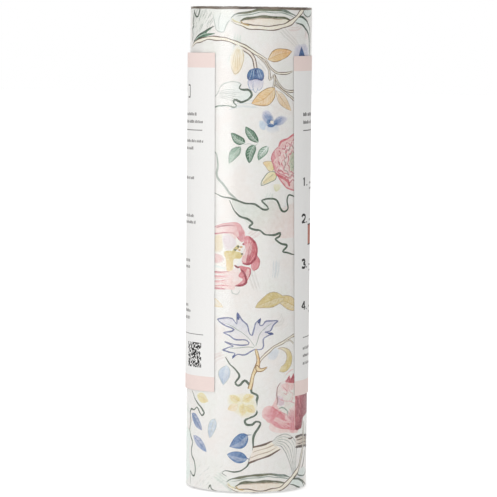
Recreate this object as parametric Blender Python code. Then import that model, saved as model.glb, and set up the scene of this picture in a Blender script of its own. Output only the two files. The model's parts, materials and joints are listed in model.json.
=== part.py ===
"""A short roll of printed fabric on a cardboard core, in clear film, with a paper label round it.

Metres, +Z up. The roll stands on one end: the origin is the middle of the bottom end, and +Z is the
core's axis. The front, where the label is open and the print shows, faces -Y. Angles round the roll
are measured from the front, and grow towards +X.
"""

import math

import bmesh
import bpy

# Driving dimensions
ROLL_LENGTH = 0.300
CORE_BORE_RADIUS = 0.019
CORE_PLY = 0.0005
CORE_PLIES = ("core_inner_ply", "core_middle_ply", "core_outer_ply")
GAP = 0.0003
SHEET = 0.00025
FILM = 0.0003
LABEL = 0.0003
TAPE = 0.0002
FILM_OUTER_RADIUS = 0.0381
FILM_LIP_WIDTH = 0.0085

LABEL_BOTTOM = 0.0605
LABEL_HEIGHT = 0.210
LABEL_RIGHT_EDGE = math.radians(47.5)
LABEL_LEFT_EDGE = math.radians(-33.5)

FREE_END = math.radians(150)
TAIL_OVERLAP = math.radians(20)
END_TAPE_SIZE = (0.034, 0.022)
END_TAPE_HEIGHTS = {"end_tape_bottom": 0.030, "end_tape_middle": 0.150, "end_tape_top": 0.270}
START_TAPE_WIDTH = 0.020

STEPS_PER_TURN = 96
FULL_TURN = 2 * math.pi

# Worked out from them
BOTTOM = FILM + GAP
TOP = ROLL_LENGTH - BOTTOM
PITCH = 2 * (SHEET + GAP) + 0.0001
FILM_INNER_RADIUS = FILM_OUTER_RADIUS - FILM
TAPE_RADIUS = FILM_INNER_RADIUS - GAP - TAPE
FABRIC_END_RADIUS = TAPE_RADIUS - GAP - SHEET
FABRIC_START_RADIUS = FABRIC_END_RADIUS - PITCH * (FULL_TURN + TAIL_OVERLAP) / FULL_TURN
LINER_START_RADIUS = FABRIC_START_RADIUS - GAP - SHEET
LABEL_RADIUS = FILM_OUTER_RADIUS + GAP
CORE_OUTER_RADIUS = CORE_BORE_RADIUS + len(CORE_PLIES) * (CORE_PLY + GAP) - GAP
START_TAPE_RADIUS = CORE_OUTER_RADIUS + GAP
WINDINGS_BORE_RADIUS = START_TAPE_RADIUS + TAPE + GAP
LAST_TURN_START = FREE_END - TAIL_OVERLAP


def material(name, colour, roughness, alpha=1.0):
    """One Principled material."""
    made = bpy.data.materials.new(name)
    made.use_nodes = True
    shader = made.node_tree.nodes["Principled BSDF"]
    shader.inputs["Base Color"].default_value = (*colour, 1.0)
    shader.inputs["Roughness"].default_value = roughness
    shader.inputs["Metallic"].default_value = 0.0
    shader.inputs["Alpha"].default_value = alpha
    made.diffuse_color = (*colour, alpha)
    return made


def named_object(name, mesh_data, finish):
    """Turns a bmesh into a smooth-shaded object with its origin on the core's axis."""
    bmesh.ops.recalc_face_normals(mesh_data, faces=mesh_data.faces)
    mesh = bpy.data.meshes.new(name)
    mesh_data.to_mesh(mesh)
    mesh_data.free()
    mesh.shade_smooth()
    mesh.set_sharp_from_angle(angle=math.radians(40))
    mesh.materials.append(finish)
    made = bpy.data.objects.new(name, mesh)
    bpy.context.scene.collection.objects.link(made)
    return made


def place(radius, angle, height):
    """The point at that distance from the axis, angle from the front and height."""
    return (radius * math.sin(angle), -radius * math.cos(angle), height)


def section(radius, thickness, bottom, top):
    """The four corners of a wall's cut face, as (radius, height)."""
    outer = radius + thickness
    return [(radius, bottom), (outer, bottom), (outer, top), (radius, top)]


def turned(name, profile, finish):
    """A ring: a closed profile of (radius, height) points, spun once round the axis."""
    ring = bmesh.new()
    corners = [ring.verts.new(place(radius, 0.0, height)) for radius, height in profile]
    loop = [ring.edges.new((a, b)) for a, b in zip(corners, corners[1:] + corners[:1])]
    bmesh.ops.spin(
        ring,
        geom=corners + loop,
        axis=(0, 0, 1),
        cent=(0, 0, 0),
        angle=FULL_TURN,
        steps=STEPS_PER_TURN,
    )
    bmesh.ops.remove_doubles(ring, verts=ring.verts, dist=1e-7)
    return named_object(name, ring, finish)


def wrapped(name, cut, start, end, finish):
    """A sheet bent round the axis from angle start to angle end.

    cut(angle) gives the four corners of the cut face there, as (radius, height). An end that is
    a whole turn after the start closes the ring.
    """
    closed = math.isclose(end - start, FULL_TURN)
    steps = max(2, round((end - start) / FULL_TURN * STEPS_PER_TURN))
    angles = [start + (end - start) * i / steps for i in range(steps if closed else steps + 1)]
    sheet = bmesh.new()
    cuts = [[sheet.verts.new(place(r, angle, z)) for r, z in cut(angle)] for angle in angles]
    following = cuts[1:] + cuts[:1] if closed else cuts[1:]
    for one, other in zip(cuts, following):
        for i in range(4):
            j = (i + 1) % 4
            sheet.faces.new((one[i], one[j], other[j], other[i]))
    if not closed:
        sheet.faces.new(reversed(cuts[0]))
        sheet.faces.new(cuts[-1])
    return named_object(name, sheet, finish)


def core(finish):
    """The spiral-wound tube, as its plies from the bore outwards."""
    for i, name in enumerate(CORE_PLIES):
        radius = CORE_BORE_RADIUS + i * (CORE_PLY + GAP)
        turned(name, section(radius, CORE_PLY, BOTTOM, TOP), finish)


def core_start_tape(finish):
    """The strip along the core that holds the sheet's inner end."""
    half = START_TAPE_WIDTH / 2 / START_TAPE_RADIUS
    cut = section(START_TAPE_RADIUS, TAPE, BOTTOM, TOP)
    wrapped("core_start_tape", lambda angle: cut, -half, half, finish)


def last_turn_growth(angle):
    """How far the last turn has climbed at that angle, counted from its start."""
    return PITCH * (angle - LAST_TURN_START) / FULL_TURN


def windings(finish):
    """All the inner turns as one ring, whose outside climbs by one layer in a turn."""
    ramp = math.radians(5)

    def cut(angle):
        share = (angle - LAST_TURN_START) / FULL_TURN
        climbed = PITCH * min(share, (1 - share) * FULL_TURN / ramp)
        radius = LINER_START_RADIUS - GAP + climbed
        return section(WINDINGS_BORE_RADIUS, radius - WINDINGS_BORE_RADIUS, BOTTOM, TOP)

    wrapped("fabric_windings", cut, LAST_TURN_START, LAST_TURN_START + FULL_TURN, finish)


def last_turn(name, start_radius, finish):
    """The last turn of a layer, from where it leaves the windings to its free end."""
    start = LAST_TURN_START + math.radians(1)

    def cut(angle):
        return section(start_radius + last_turn_growth(angle), SHEET, BOTTOM, TOP)

    wrapped(name, cut, start, start + FULL_TURN + TAIL_OVERLAP, finish)


def end_tapes(finish):
    """Short strips across the free end, half on the tail and half on the turn below it."""
    width, height = END_TAPE_SIZE
    half = width / 2 / TAPE_RADIUS
    edge = FREE_END + math.radians(1)
    step = math.radians(4)
    below = PITCH * (FULL_TURN - step) / FULL_TURN

    def cut_at(middle):
        def cut(angle):
            share = min(max((angle - edge) / step, 0.0), 1.0)
            radius = TAPE_RADIUS - below * share * share * (3 - 2 * share)
            return section(radius, TAPE, middle - height / 2, middle + height / 2)

        return cut

    for name, middle in END_TAPE_HEIGHTS.items():
        wrapped(name, cut_at(middle), edge - half, edge + half, finish)


def clear_film(finish):
    """The shrunk sleeve, drawn in over both ends to a round hole."""
    lip = FILM_OUTER_RADIUS - FILM_LIP_WIDTH
    profile = [
        (lip, 0.0),
        (FILM_OUTER_RADIUS, 0.0),
        (FILM_OUTER_RADIUS, ROLL_LENGTH),
        (lip, ROLL_LENGTH),
        (lip, ROLL_LENGTH - FILM),
        (FILM_INNER_RADIUS, ROLL_LENGTH - FILM),
        (FILM_INNER_RADIUS, FILM),
        (lip, FILM),
    ]
    turned("clear_film", profile, finish)


def label_band(finish):
    """The stiff paper band, open in front, that slides and turns on the film."""
    cut = section(LABEL_RADIUS, LABEL, LABEL_BOTTOM, LABEL_BOTTOM + LABEL_HEIGHT)
    end = LABEL_LEFT_EDGE + FULL_TURN
    wrapped("label_band", lambda angle: cut, LABEL_RIGHT_EDGE, end, finish)


def main():
    for old in list(bpy.data.objects):
        bpy.data.objects.remove(old)
    cardboard = material("cardboard", (0.36, 0.24, 0.15), 0.9)
    printed_fabric = material("printed_fabric", (0.86, 0.84, 0.79), 0.75)
    liner_paper = material("liner_paper", (0.30, 0.22, 0.16), 0.6)
    clear_plastic = material("clear_plastic", (0.95, 0.96, 0.96), 0.15, alpha=0.3)
    tape_plastic = material("tape_plastic", (0.90, 0.89, 0.85), 0.35, alpha=0.6)
    label_paper = material("label_paper", (0.83, 0.81, 0.78), 0.7)
    core(cardboard)
    core_start_tape(tape_plastic)
    windings(printed_fabric)
    last_turn("release_liner_last_turn", LINER_START_RADIUS, liner_paper)
    last_turn("fabric_last_turn", FABRIC_START_RADIUS, printed_fabric)
    end_tapes(tape_plastic)
    clear_film(clear_plastic)
    label_band(label_paper)


main()
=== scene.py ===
"""The looks of a short roll of printed fabric on a cardboard core, in clear film, with a paper label.

Metres and +Z up in the scene. The two drawings, on the cloth and on the label, are made flat, in
millimetres: across grows to the right as the outside is seen, and up grows towards the top end.
"""

import json
import math
import random

import bpy
import numpy as np
from mathutils import Matrix, Vector, geometry, noise

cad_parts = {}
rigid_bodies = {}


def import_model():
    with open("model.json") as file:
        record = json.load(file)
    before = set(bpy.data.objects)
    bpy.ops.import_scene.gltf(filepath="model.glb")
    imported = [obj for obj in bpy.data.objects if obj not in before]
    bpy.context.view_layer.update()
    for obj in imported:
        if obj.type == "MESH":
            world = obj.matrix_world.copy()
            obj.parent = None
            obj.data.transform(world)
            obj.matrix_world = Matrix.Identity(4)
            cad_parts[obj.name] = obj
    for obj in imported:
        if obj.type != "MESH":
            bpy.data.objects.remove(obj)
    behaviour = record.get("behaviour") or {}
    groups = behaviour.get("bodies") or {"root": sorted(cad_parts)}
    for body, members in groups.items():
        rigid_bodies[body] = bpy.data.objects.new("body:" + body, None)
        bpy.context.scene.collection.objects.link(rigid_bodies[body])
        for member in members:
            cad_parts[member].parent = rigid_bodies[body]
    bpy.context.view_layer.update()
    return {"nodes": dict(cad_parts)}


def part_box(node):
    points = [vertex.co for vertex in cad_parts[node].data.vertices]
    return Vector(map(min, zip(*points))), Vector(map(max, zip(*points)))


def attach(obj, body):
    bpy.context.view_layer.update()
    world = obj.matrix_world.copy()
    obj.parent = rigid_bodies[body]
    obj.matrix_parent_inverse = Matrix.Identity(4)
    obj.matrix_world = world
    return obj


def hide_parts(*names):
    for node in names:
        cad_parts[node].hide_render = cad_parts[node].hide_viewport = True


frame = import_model()

MM = 0.001
TURN = 2 * math.pi
NO_AREA = 1e-9

# The roll, in millimetres
ROLL_RADIUS = 38.0
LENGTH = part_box("clear_film")[1].z / MM
CORE_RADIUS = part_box("core_outer_ply")[1].x / MM
CLOTH = 0.16
LINER = 0.11
LINER_SLACK = 0.015
PITCH = 0.30
CLOTH_END_RADIUS = 37.86
FREE_END = math.radians(150)
CLOTH_BOTTOM = 0.9
CLOTH_TOP = 298.2
LINER_TOP = 299.6
WINDINGS_START = CORE_RADIUS + 0.6
INNER_TURNS = math.floor((CLOTH_END_RADIUS - CLOTH - PITCH - WINDINGS_START) / PITCH)
FILM_RADIUS = 38.06
TAPE_RADIUS = 37.95
TAPE = 0.05
FILM = 0.06
LABEL_RADIUS = 38.11
LABEL = 0.1


def tint(red, green, blue):
    """A colour given from 0 to 255 as it is seen, turned into the linear one that a shader takes."""
    shares = [c / 255 for c in (red, green, blue)]
    return np.array([c / 12.92 if c <= 0.04045 else ((c + 0.055) / 1.055) ** 2.4 for c in shares])


# Inks of the cloth
GROUND = tint(245, 242, 239)
LEAF_LINE = tint(84, 100, 84)
SOFT_LINE = tint(146, 160, 148)
PALE_LINE = tint(200, 205, 200)
OLIVE = tint(112, 114, 88)
BROWN = tint(108, 84, 68)
SOFT_BROWN = tint(190, 168, 146)
CREAM = tint(250, 243, 228)
PEACH = tint(243, 232, 222)
OCHRE = tint(240, 194, 136)
PALE_OCHRE = tint(240, 218, 174)
OCHRE_LINE = tint(156, 116, 68)
STRAW = tint(224, 204, 142)
GREEN = tint(50, 98, 68)
MID_GREEN = tint(98, 138, 112)
PALE_GREEN = tint(190, 208, 194)
MINT = tint(237, 243, 239)
GREY_LINE = tint(178, 180, 176)
PALE_YELLOW = tint(240, 230, 182)
BLUE = tint(58, 108, 160)
MID_BLUE = tint(128, 152, 192)
PALE_BLUE = tint(212, 223, 235)
LAVENDER = tint(202, 200, 222)
BLUE_LINE = tint(74, 88, 138)
ROSE = tint(214, 114, 122)
DEEP_ROSE = tint(168, 62, 78)
PINK = tint(230, 162, 168)
PALE_PINK = tint(242, 210, 207)
BLUSH = tint(249, 232, 228)
PINK_LINE = tint(214, 140, 148)


def smooth(points, closed=False, step=1.25):
    """A soft curve through the points."""
    knots = [Vector(point) for point in points]
    count = len(knots)
    curve = []
    for i in range(count if closed else count - 1):
        if closed:
            a, b, c, d = (knots[(i + k) % count] for k in (-1, 0, 1, 2))
        else:
            a, b, c, d = (knots[min(max(i + k, 0), count - 1)] for k in (-1, 0, 1, 2))
        steps = max(1, round((c - b).length / step))
        for j in range(steps):
            t = j / steps
            curve.append(
                0.5 * (
                    2 * b + (c - a) * t + (
                        2 * a - 5 * b + 4 * c - d
                    ) * t**2 + (3 * b - a - 3 * c + d) * t**3
                )
            )
    if not closed:
        curve.append(knots[-1])
    return np.array(curve)


def ellipse(centre, radii, start=0.0, end=360.0, tilt=0.0, step=1.3):
    """Points along an ellipse, or part of one; the angles are in degrees."""
    reach = abs(math.radians(end - start)) * max(radii)
    angles = np.radians(np.linspace(start, end, max(8, round(reach / step)) + 1))
    x, y = radii[0] * np.cos(angles), radii[1] * np.sin(angles)
    c, s = math.cos(math.radians(tilt)), math.sin(math.radians(tilt))
    return np.stack([centre[0] + x * c - y * s, centre[1] + x * s + y * c], axis=1)


def turned_faces(points, faces, way):
    """Turns flat faces up if way is 1, or down if -1, and says which of them have an area."""
    a, b, c = (points[faces[:, k]] for k in range(3))
    area = (b[:, 0] - a[:, 0]) * (c[:, 1] - a[:, 1]) - (b[:, 1] - a[:, 1]) * (c[:, 0] - a[:, 0])
    wrong = area * way < 0
    faces[wrong] = faces[wrong][:, ::-1]
    return np.abs(area) > NO_AREA


class Drawing:
    """Flat closed shapes in millimetres, painted one over another on a plain ground."""

    def __init__(self, left, right, bottom, top, ground, shake=0.0):
        self.left, self.right, self.bottom, self.top = left, right, bottom, top
        self.shake = shake
        self.ground = np.array(ground)
        self.shapes = []
        self.move((0, 0))

    def move(self, offset):
        """Where the next shapes go."""
        self.offset = np.array(offset, float)

    def put(self, points):
        """Where the points land: an unsteady hand moves neighbours alike."""
        points = np.array(points, float) + self.offset
        x, y = points[:, 0], points[:, 1]
        aside = 0.7 * np.sin(0.47 * y + 1.7 * np.sin(0.19 * x)) + 0.3 * np.sin(1.1 * x + 0.4 * y)
        along = 0.7 * np.sin(0.43 * x + 1.9 * np.sin(0.21 * y)) + 0.3 * np.sin(1.0 * y - 0.6 * x)
        return points + self.shake * np.stack([aside, along], axis=1)

    def shape(self, outline, colour, fade=None, across=None):
        """A filled outline. With fade, its colour turns into fade from across[0] to across[1]."""
        outline = self.put(outline)
        low, high = outline.min(0), outline.max(0)
        if high[0] < self.left or low[0] > self.right or high[1] < self.bottom or low[1] > self.top:
            return
        ramp = None if fade is None else (self.put([across[0]])[0], self.put([across[1]])[0], fade)
        self.shapes.append((outline, colour, ramp))

    def patch(self, points, colour, fade=None, across=None):
        """A filled shape with a soft outline through the points."""
        self.shape(smooth(points, True), colour, fade, across)

    def line(self, path, width, colour, ends=(0.35, 0.35), soft=True, closed=False, fade=None):
        """A drawn line of that width, thinner towards its ends."""
        path = smooth(path, closed) if soft else np.array(path, float)
        if closed:
            path = np.vstack([path, path[:1]])
        along = np.gradient(path, axis=0)
        along /= np.maximum(np.linalg.norm(along, axis=1), 1e-9)[:, None]
        side = np.stack([-along[:, 1], along[:, 0]], axis=1)
        t = np.linspace(0, 1, len(path))
        swell = np.minimum(1, np.minimum(ends[0] + 4 * t, ends[1] + 4 * (1 - t)))
        if closed:
            swell[:] = 1
        if self.shake:
            swell = swell * (1 + 0.16 * np.sin(0.45 * path[:, 0] + 0.31 * path[:, 1]))
        half = (width / 2 * swell)[:, None]
        outline = np.vstack([path + side * half, (path - side * half)[::-1]])
        self.shape(outline, colour, fade, None if fade is None else (path[0], path[-1]))

    def inside(self, outline, points):
        """Which of the points lie inside the outline, counting how it winds round them."""
        found = np.zeros(len(points), bool)
        low, high = outline.min(0), outline.max(0)
        near = np.flatnonzero(((points >= low) & (points <= high)).all(1))
        if not len(near):
            return found
        x, y = points[near, 0][:, None], points[near, 1][:, None]
        ax, ay = outline[:, 0], outline[:, 1]
        bx, by = np.roll(ax, -1), np.roll(ay, -1)
        lean = (bx - ax) * (y - ay) - (x - ax) * (by - ay)
        rising = (ay <= y) & (by > y) & (lean > 0)
        falling = (ay > y) & (by <= y) & (lean < 0)
        found[near] = (rising.sum(1) - falling.sum(1)) != 0
        return found

    def triangles(self, columns, rows):
        """Cuts the sheet along every outline: points, triangles and the colour of each corner."""
        corners = []
        edges = []

        def add(loop, closed=True):
            first = len(corners)
            corners.extend(Vector(point) for point in loop)
            last = len(corners) - 1
            edges.extend((i, i + 1) for i in range(first, last))
            if closed:
                edges.append((last, first))

        for x in columns:
            add([(x, y) for y in rows], closed=False)
        add([(x, rows[0]) for x in columns], closed=False)
        add([(x, rows[-1]) for x in columns], closed=False)
        for outline, _, _ in self.shapes:
            add(outline)
        cut = geometry.delaunay_2d_cdt(corners, edges, [], 0, 1e-4)
        points = np.array(cut[0])
        faces = np.array(cut[2])
        middles = points[faces].mean(1)
        kept = (middles[:, 0] > self.left) & (middles[:, 0] < self.right)
        kept &= (middles[:, 1] > self.bottom) & (middles[:, 1] < self.top)
        kept &= turned_faces(points, faces, 1)
        faces, middles = faces[kept], middles[kept]
        colours = np.tile(self.ground, (len(faces), 3, 1))
        for outline, colour, ramp in self.shapes:
            hit = self.inside(outline, middles)
            if not hit.any():
                continue
            if ramp is None:
                colours[hit] = colour
                continue
            start, end, other = ramp
            span = end - start
            share = ((points[faces[hit]] - start) @ span) / (span @ span)
            share = np.clip(share, 0, 1)[..., None]
            colours[hit] = colour * (1 - share) + other * share
        used, index = np.unique(faces, return_inverse=True)
        return points[used], index.reshape(faces.shape), colours


# Motifs of the cloth, in the drawing's millimetres


def leaf(art, base, tip, width, fill, fade, edge, rib=None, bend=0.0, veins=0, line=0.45):
    """A pointed leaf from base to tip, bowed sideways by bend, with a rib and side veins."""
    base, tip = Vector(base), Vector(tip)
    along = tip - base
    side = Vector((-along.y, along.x)).normalized()

    def at(t, share):
        half = width / 2 * math.sin(math.pi * t**0.85) ** 0.85
        return base + along * t + side * (bend * 4 * t * (1 - t) + share * half)

    steps = [i / 9 for i in range(10)]
    outline = [at(t, 1) for t in steps] + [at(t, -1) for t in reversed(steps[1:-1])]
    art.shape(outline, fill, fade, (base, tip))
    light = [at(t, 0.7) for t in steps] + [at(t, 0.05) for t in reversed(steps[1:-1])]
    art.shape(light, fill * 0.7 + GROUND * 0.3, fade * 0.85 + GROUND * 0.15, (base, tip))
    for share in (1, -1):
        art.line([at(t, share) for t in steps], line, edge, soft=False)
    if rib is not None:
        art.line([at(t, 0) for t in steps[:-1]], line, rib, ends=(1, 0.2), soft=False)
        for i in range(veins):
            t = 0.15 + 0.6 * i / max(1, veins)
            for share in (0.8, -0.8):
                art.line(
                    [at(t, 0), at(t + 0.07, share * 0.5), at(t + 0.16, share)], line * 0.75, rib,
                    soft=False
                )


def wash(art, outline, colour, fade=None, across=None):
    """A painted patch whose edge is softer than its middle."""
    outline = smooth(outline, True)
    middle = outline.mean(0)
    for grow, strength in ((1.1, 0.35), (1.0, 0.7), (0.86, 1.0)):
        thin = [
            tone if tone is None else tone * strength + GROUND * (1 - strength) for tone in (colour, fade)
        ]
        art.shape(middle + (outline - middle) * grow, thin[0], thin[1], across)


def branch(art, path, width, fill=CREAM, edge=BROWN, line=0.45, ends=(0.3, 0.5)):
    """A stem drawn as two lines with a light colour between them."""
    art.line(path, width, edge, ends)
    art.line(path, width - 2 * line, fill, ends)


def toothed(segments):
    """An outline whose points stay sharp: each segment is a soft curve to the next tip."""
    curves = [smooth(segments[0])]
    for segment in segments[1:]:
        curves.append(smooth([tuple(curves[-1][-1])] + segment)[1:])
    return np.vstack(curves)


def hatching(art, centre, size, slope, count, colour, width=0.22, seed=1, reach=1.0):
    """Short fine strokes side by side, as in an engraved shade."""
    draw = random.Random(seed)
    for _ in range(count):
        x = centre[0] + (draw.random() - 0.5) * size[0]
        y = centre[1] + (draw.random() - 0.5) * size[1]
        long = reach * (1.0 + 1.6 * draw.random())
        art.line([(x, y), (x + long * slope[0], y + long * slope[1])], width, colour, soft=False)


def ring(art, up):
    """Scroll stems that cross in a flat ring."""

    def lifted(points, by=0.0, aside=0.0):
        return [(x + aside, up + y + by) for x, y in points]

    art.shape(ellipse((10, up), (23.5, 6)), PALE_GREEN * 0.2 + GROUND * 0.8, GROUND, ((-4, up), (20, up)))
    art.shape(ellipse((10, up - 0.9), (16.4, 2.7)), PEACH, CREAM * 0.96, ((-6, up), (24, up)))
    green = [(29, 2), (36, 2), (42, 0.4), (46.6, -2.6), (49.6, -7), (50.8, -14)]
    under = [(31, -1.4), (37.6, -3), (43, -5.6), (46.8, -9.4), (48.8, -15), (49.6, -24)]
    art.shape(lifted(green) + lifted(under)[::-1], MINT, GROUND, ((46, up), (50, up - 20)))
    art.shape(ellipse((46, up + 5.2), (7, 2.4)), MINT * 0.93)
    art.line(ellipse((46, up + 5.2), (7.4, 2.8), 170, 370), 0.8, LEAF_LINE, soft=False)
    art.line(lifted(green), 1.2, LEAF_LINE * 0.9)
    art.line(lifted(under), 1.2, LEAF_LINE * 0.8)
    top = [(-12.6, 1), (-9, 3.4), (-1, 4.7), (5.3, 5.8), (12.5, 6.1), (20, 5.6), (26, 4.6), (31.4, 2.8)]
    art.line(lifted(top), 1.5, SOFT_LINE * 0.7, (0.2, 0.3))
    art.line(lifted(top[1:6]), 1.3, OLIVE, (0.1, 0.1))
    art.line(lifted(top[1:], -1.5), 0.6, SOFT_LINE)
    lip = [(-6.8, -1.2), (-2.5, 0.8), (4.3, 1.6), (13, 1.7), (21.5, 1.2), (27, -0.4)]
    art.line(lifted(lip), 1.5, OLIVE * 0.85, (0.4, 0.3))
    art.line(lifted(lip[1:-1], -1.0, 0.4), 0.5, SOFT_BROWN)
    body = [
        (-12.4, -0.2), (-9.6, -2.2), (-2.5, -3.9), (5, -4.9), (13, -4.9), (22.5, -3.3), (28.5, -0.3),
        (33.5, 3.2), (39.2, 7.6)
    ]
    branch(art, lifted(body), 3.1, CREAM, BROWN, 0.6, (0.2, 0.9))
    art.line(lifted([(-6.6, -1), (-5, -2.6), (-1, -3.4)]), 0.9, OCHRE_LINE * 0.5 + STRAW * 0.5)
    art.line(lifted([(-11.8, 0.8), (-9.8, -1.2), (-6.8, -2)]), 0.8, PALE_YELLOW * 0.9)


def streaks(art, start, end, spread_by, count, width, colour, curve=0.0):
    """Fine lines side by side, from start to end, fanned out by spread_by at the far end."""
    start, end = Vector(start), Vector(end)
    along = end - start
    side = Vector((-along.y, along.x)).normalized()
    for i in range(count):
        share = (i + 0.5) / count - 0.5
        reach = 0.72 + 0.28 * ((i * 7) % 5) / 4
        tip = start + along * reach + side * spread_by * share
        root = start + side * spread_by * share * 0.45
        middle = (root + tip) / 2 + side * curve * share * 2
        art.line([root, middle, tip], width, colour, (0.6, 0.1))


def background(art):
    """Faint leaves and stalks all over the ground, barely darker than it."""
    draw = random.Random(21)
    tones = (tint(232, 229, 225), tint(238, 227, 224), tint(228, 232, 226), tint(228, 230, 231))
    for _ in range(76):
        x = art.left + (art.right - art.left) * draw.random()
        y = LENGTH * draw.random()
        a = TURN * draw.random()
        reach = 7 + 12 * draw.random()
        tone = tones[draw.randrange(4)]
        side = (math.cos(a), math.sin(a))
        bend = 4 * (draw.random() - 0.5)
        for k in range(3):
            start = (x - 1.8 * k * side[1], y + 1.8 * k * side[0])
            tip = (start[0] + reach * side[0], start[1] + reach * side[1])
            middle = ((start[0] + tip[0]) / 2 + bend, (start[1] + tip[1]) / 2 - bend)
            art.line([start, middle, tip], 0.6 + 0.9 * draw.random(), tone, (0.2, 0.2))


def engraved_leaf(art):
    """The hatched leaf and the dark blade below it, beside the ring."""
    body = [(-52, 300), (-50, 290), (-47, 280), (-36, 283), (-27, 288), (-24, 297), (-26, 303)]
    art.patch(body, PALE_GREEN * 0.2 + GROUND * 0.8, GROUND, ((-50, 290), (-26, 292)))
    hatching(art, (-36.5, 289.6), (19, 16), (0.6, 0.8), 80, SOFT_LINE, 0.45, 5, 2.0)
    art.line([(-37.8, 299.6), (-38.6, 295), (-40.6, 293.4), (-44, 294.6), (-46.2, 298)], 1.1, LEAF_LINE * 0.8)
    edge = [
        (-45.6, 296.6), (-46.7, 292.4), (-48, 289.6), (-46.6, 287.8), (-49.3, 285.6), (-48, 282.6),
        (-49.2, 278)
    ]
    art.line(edge, 1.3, LEAF_LINE * 0.7)
    blade = [
        (-47, 276.6), (-40, 281.6), (-31.2, 285.4), (-24, 287.5), (-31, 283.6), (-29, 283.2),
        (-23.6, 282.9), (-32, 281), (-40, 279.4)
    ]
    art.patch(blade, GREEN * 0.5, MID_GREEN, ((-46, 277), (-25, 286)))
    art.line([(-46.6, 277), (-40, 281.4), (-31.2, 285.2), (-24, 287.4)], 0.8, LEAF_LINE * 0.7, (0.6, 0.2))
    art.line([(-44, 278.4), (-37, 281.8), (-30, 283.6)], 0.5, PALE_GREEN)
    cup = [
        (-26, 295), (-24, 289.4), (-22.8, 285.4), (-20.4, 284.3), (-17.6, 284.6), (-15.5, 288.7),
        (-12.7, 292.6), (-10, 295.4)
    ]
    art.patch(cup + [(-18, 300), (-28, 299)], MINT, GROUND, ((-20, 284), (-20, 299)))
    art.line(cup, 0.6, PALE_LINE * 0.92)
    art.line([(-20.6, 285.6), (-21, 291), (-20, 296)], 0.5, PALE_LINE)


def berry_branch(art):
    """The long stem with its blue bud, ochre leaves and thin twigs."""
    branch(
        art, [(-50, 274.6), (-41, 278), (-30, 280), (-19, 280), (-8, 277.2), (1, 272.2), (10, 267.6)],
        2.6, line=0.55
    )
    branch(art, [(-10, 276.6), (-3, 273), (1.4, 268.6), (3.4, 262)], 2.0, PEACH, BROWN, 0.5, (0.3, 0.9))
    wash(
        art,
        [(-9, 275.6), (-12, 270.6), (-12.2, 264.4), (-9.8, 258.6), (-6.2, 262), (-4.4, 268.6), (-6, 274)],
        PALE_OCHRE * 0.7 + CREAM * 0.3,
        CREAM,
        ((-6, 262), (-11, 271)),
    )
    streaks(art, (-8, 274), (-9.4, 260), 5, 4, 0.35, PALE_OCHRE * 0.85, 0.8)
    art.line([(-5.8, 274), (-4.2, 268.6), (-6, 262), (-9.8, 258.4), (-12.4, 264)], 0.5, PALE_OCHRE * 0.75)
    leaf(
        art, (10.6, 267.8), (27.6, 272.6), 7.4, PALE_OCHRE, OCHRE, OCHRE_LINE,
        OCHRE_LINE * 0.3 + OCHRE * 0.7, 0.6, 6, 0.4
    )
    for path in (
        [(9, 267.4), (12.6, 262.8), (17, 259.6), (23, 259), (28.4, 260.8)],
        [(4, 269.6), (9, 265.4), (12, 260.6), (11.8, 255.6), (14.6, 258.4)],
        [(14.6, 259), (17.4, 253.6), (22, 249.6), (27, 248), (34, 249)],
        [(15.6, 252.4), (21.6, 248.4), (27.6, 244.4), (34, 240.6)],
        [(14.6, 259), (15.4, 254), (14.4, 249)],
    ):
        branch(art, path, 1.5, CREAM, BROWN, 0.42, (0.8, 0.4))
    petals = ((0.4, 253.2, 100), (6.2, 253.4, 80), (3.3, 252, 90))
    for x, y, tilt in petals:
        art.shape(ellipse((x, y), (4.6, 1.7), tilt=tilt), LAVENDER, GROUND, ((x, 256.5), (x, 247.6)))
        art.line(ellipse((x, y), (4.6, 1.7), 60, 260, tilt=tilt), 0.28, MID_BLUE, soft=False)
    cap = smooth(
        [
            (-2.4, 257.4), (-1, 261), (3.2, 262.4), (7.4, 261), (8.6, 257.4), (7.2, 254.8), (3.2, 255.4),
            (-0.8, 254.8)
        ],
        True
    )
    art.shape(cap, MID_BLUE * 0.4 + BLUE * 0.6, BLUE * 0.9, ((7.4, 255), (0, 261)))
    art.shape(ellipse((5.4, 258.2), (1.5, 2.6), tilt=8), MID_BLUE, BLUE, ((5.4, 255), (5.4, 261)))
    art.line([(-2.2, 258.4), (-0.4, 255.2), (3, 255.6), (7, 255), (8.5, 258)], 0.7, BLUE_LINE, (0.2, 0.2))
    for x, lean in ((-0.6, -0.8), (1.4, -0.3), (5.2, 0.4), (7, 0.9)):
        art.line(
            [(3.2 + (x - 3.2) * 0.5, 261.8), (x + lean * 0.4, 255.8)], 0.35,
            MID_BLUE * 0.5 + PALE_BLUE * 0.5
        )
    art.line([(3.1, 262), (3.3, 255.8)], 0.45, BLUE_LINE)
    leaf(
        art, (15.8, 250), (0.8, 240.4), 9.4, PALE_OCHRE, OCHRE * 0.8 + PALE_OCHRE * 0.2, OCHRE_LINE,
        OCHRE_LINE * 0.3 + OCHRE * 0.7, 1.4, 6, 0.4
    )
    leaf(
        art, (16.4, 248.6), (28, 236.4), 5.8, CREAM, OCHRE * 0.5 + PALE_OCHRE * 0.5, SOFT_BROWN,
        OCHRE_LINE * 0.5 + OCHRE * 0.5, -0.6, 6, 0.35
    )
    wash(art, [(31, 268), (31.4, 275.4), (38, 277), (45.6, 275), (46, 267)], LAVENDER * 0.7 + GROUND * 0.3)
    art.shape([(33.6, 269), (37, 276), (38.6, 274), (42, 269)], BLUE_LINE, BLUE, ((35, 276), (40, 269)))


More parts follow.
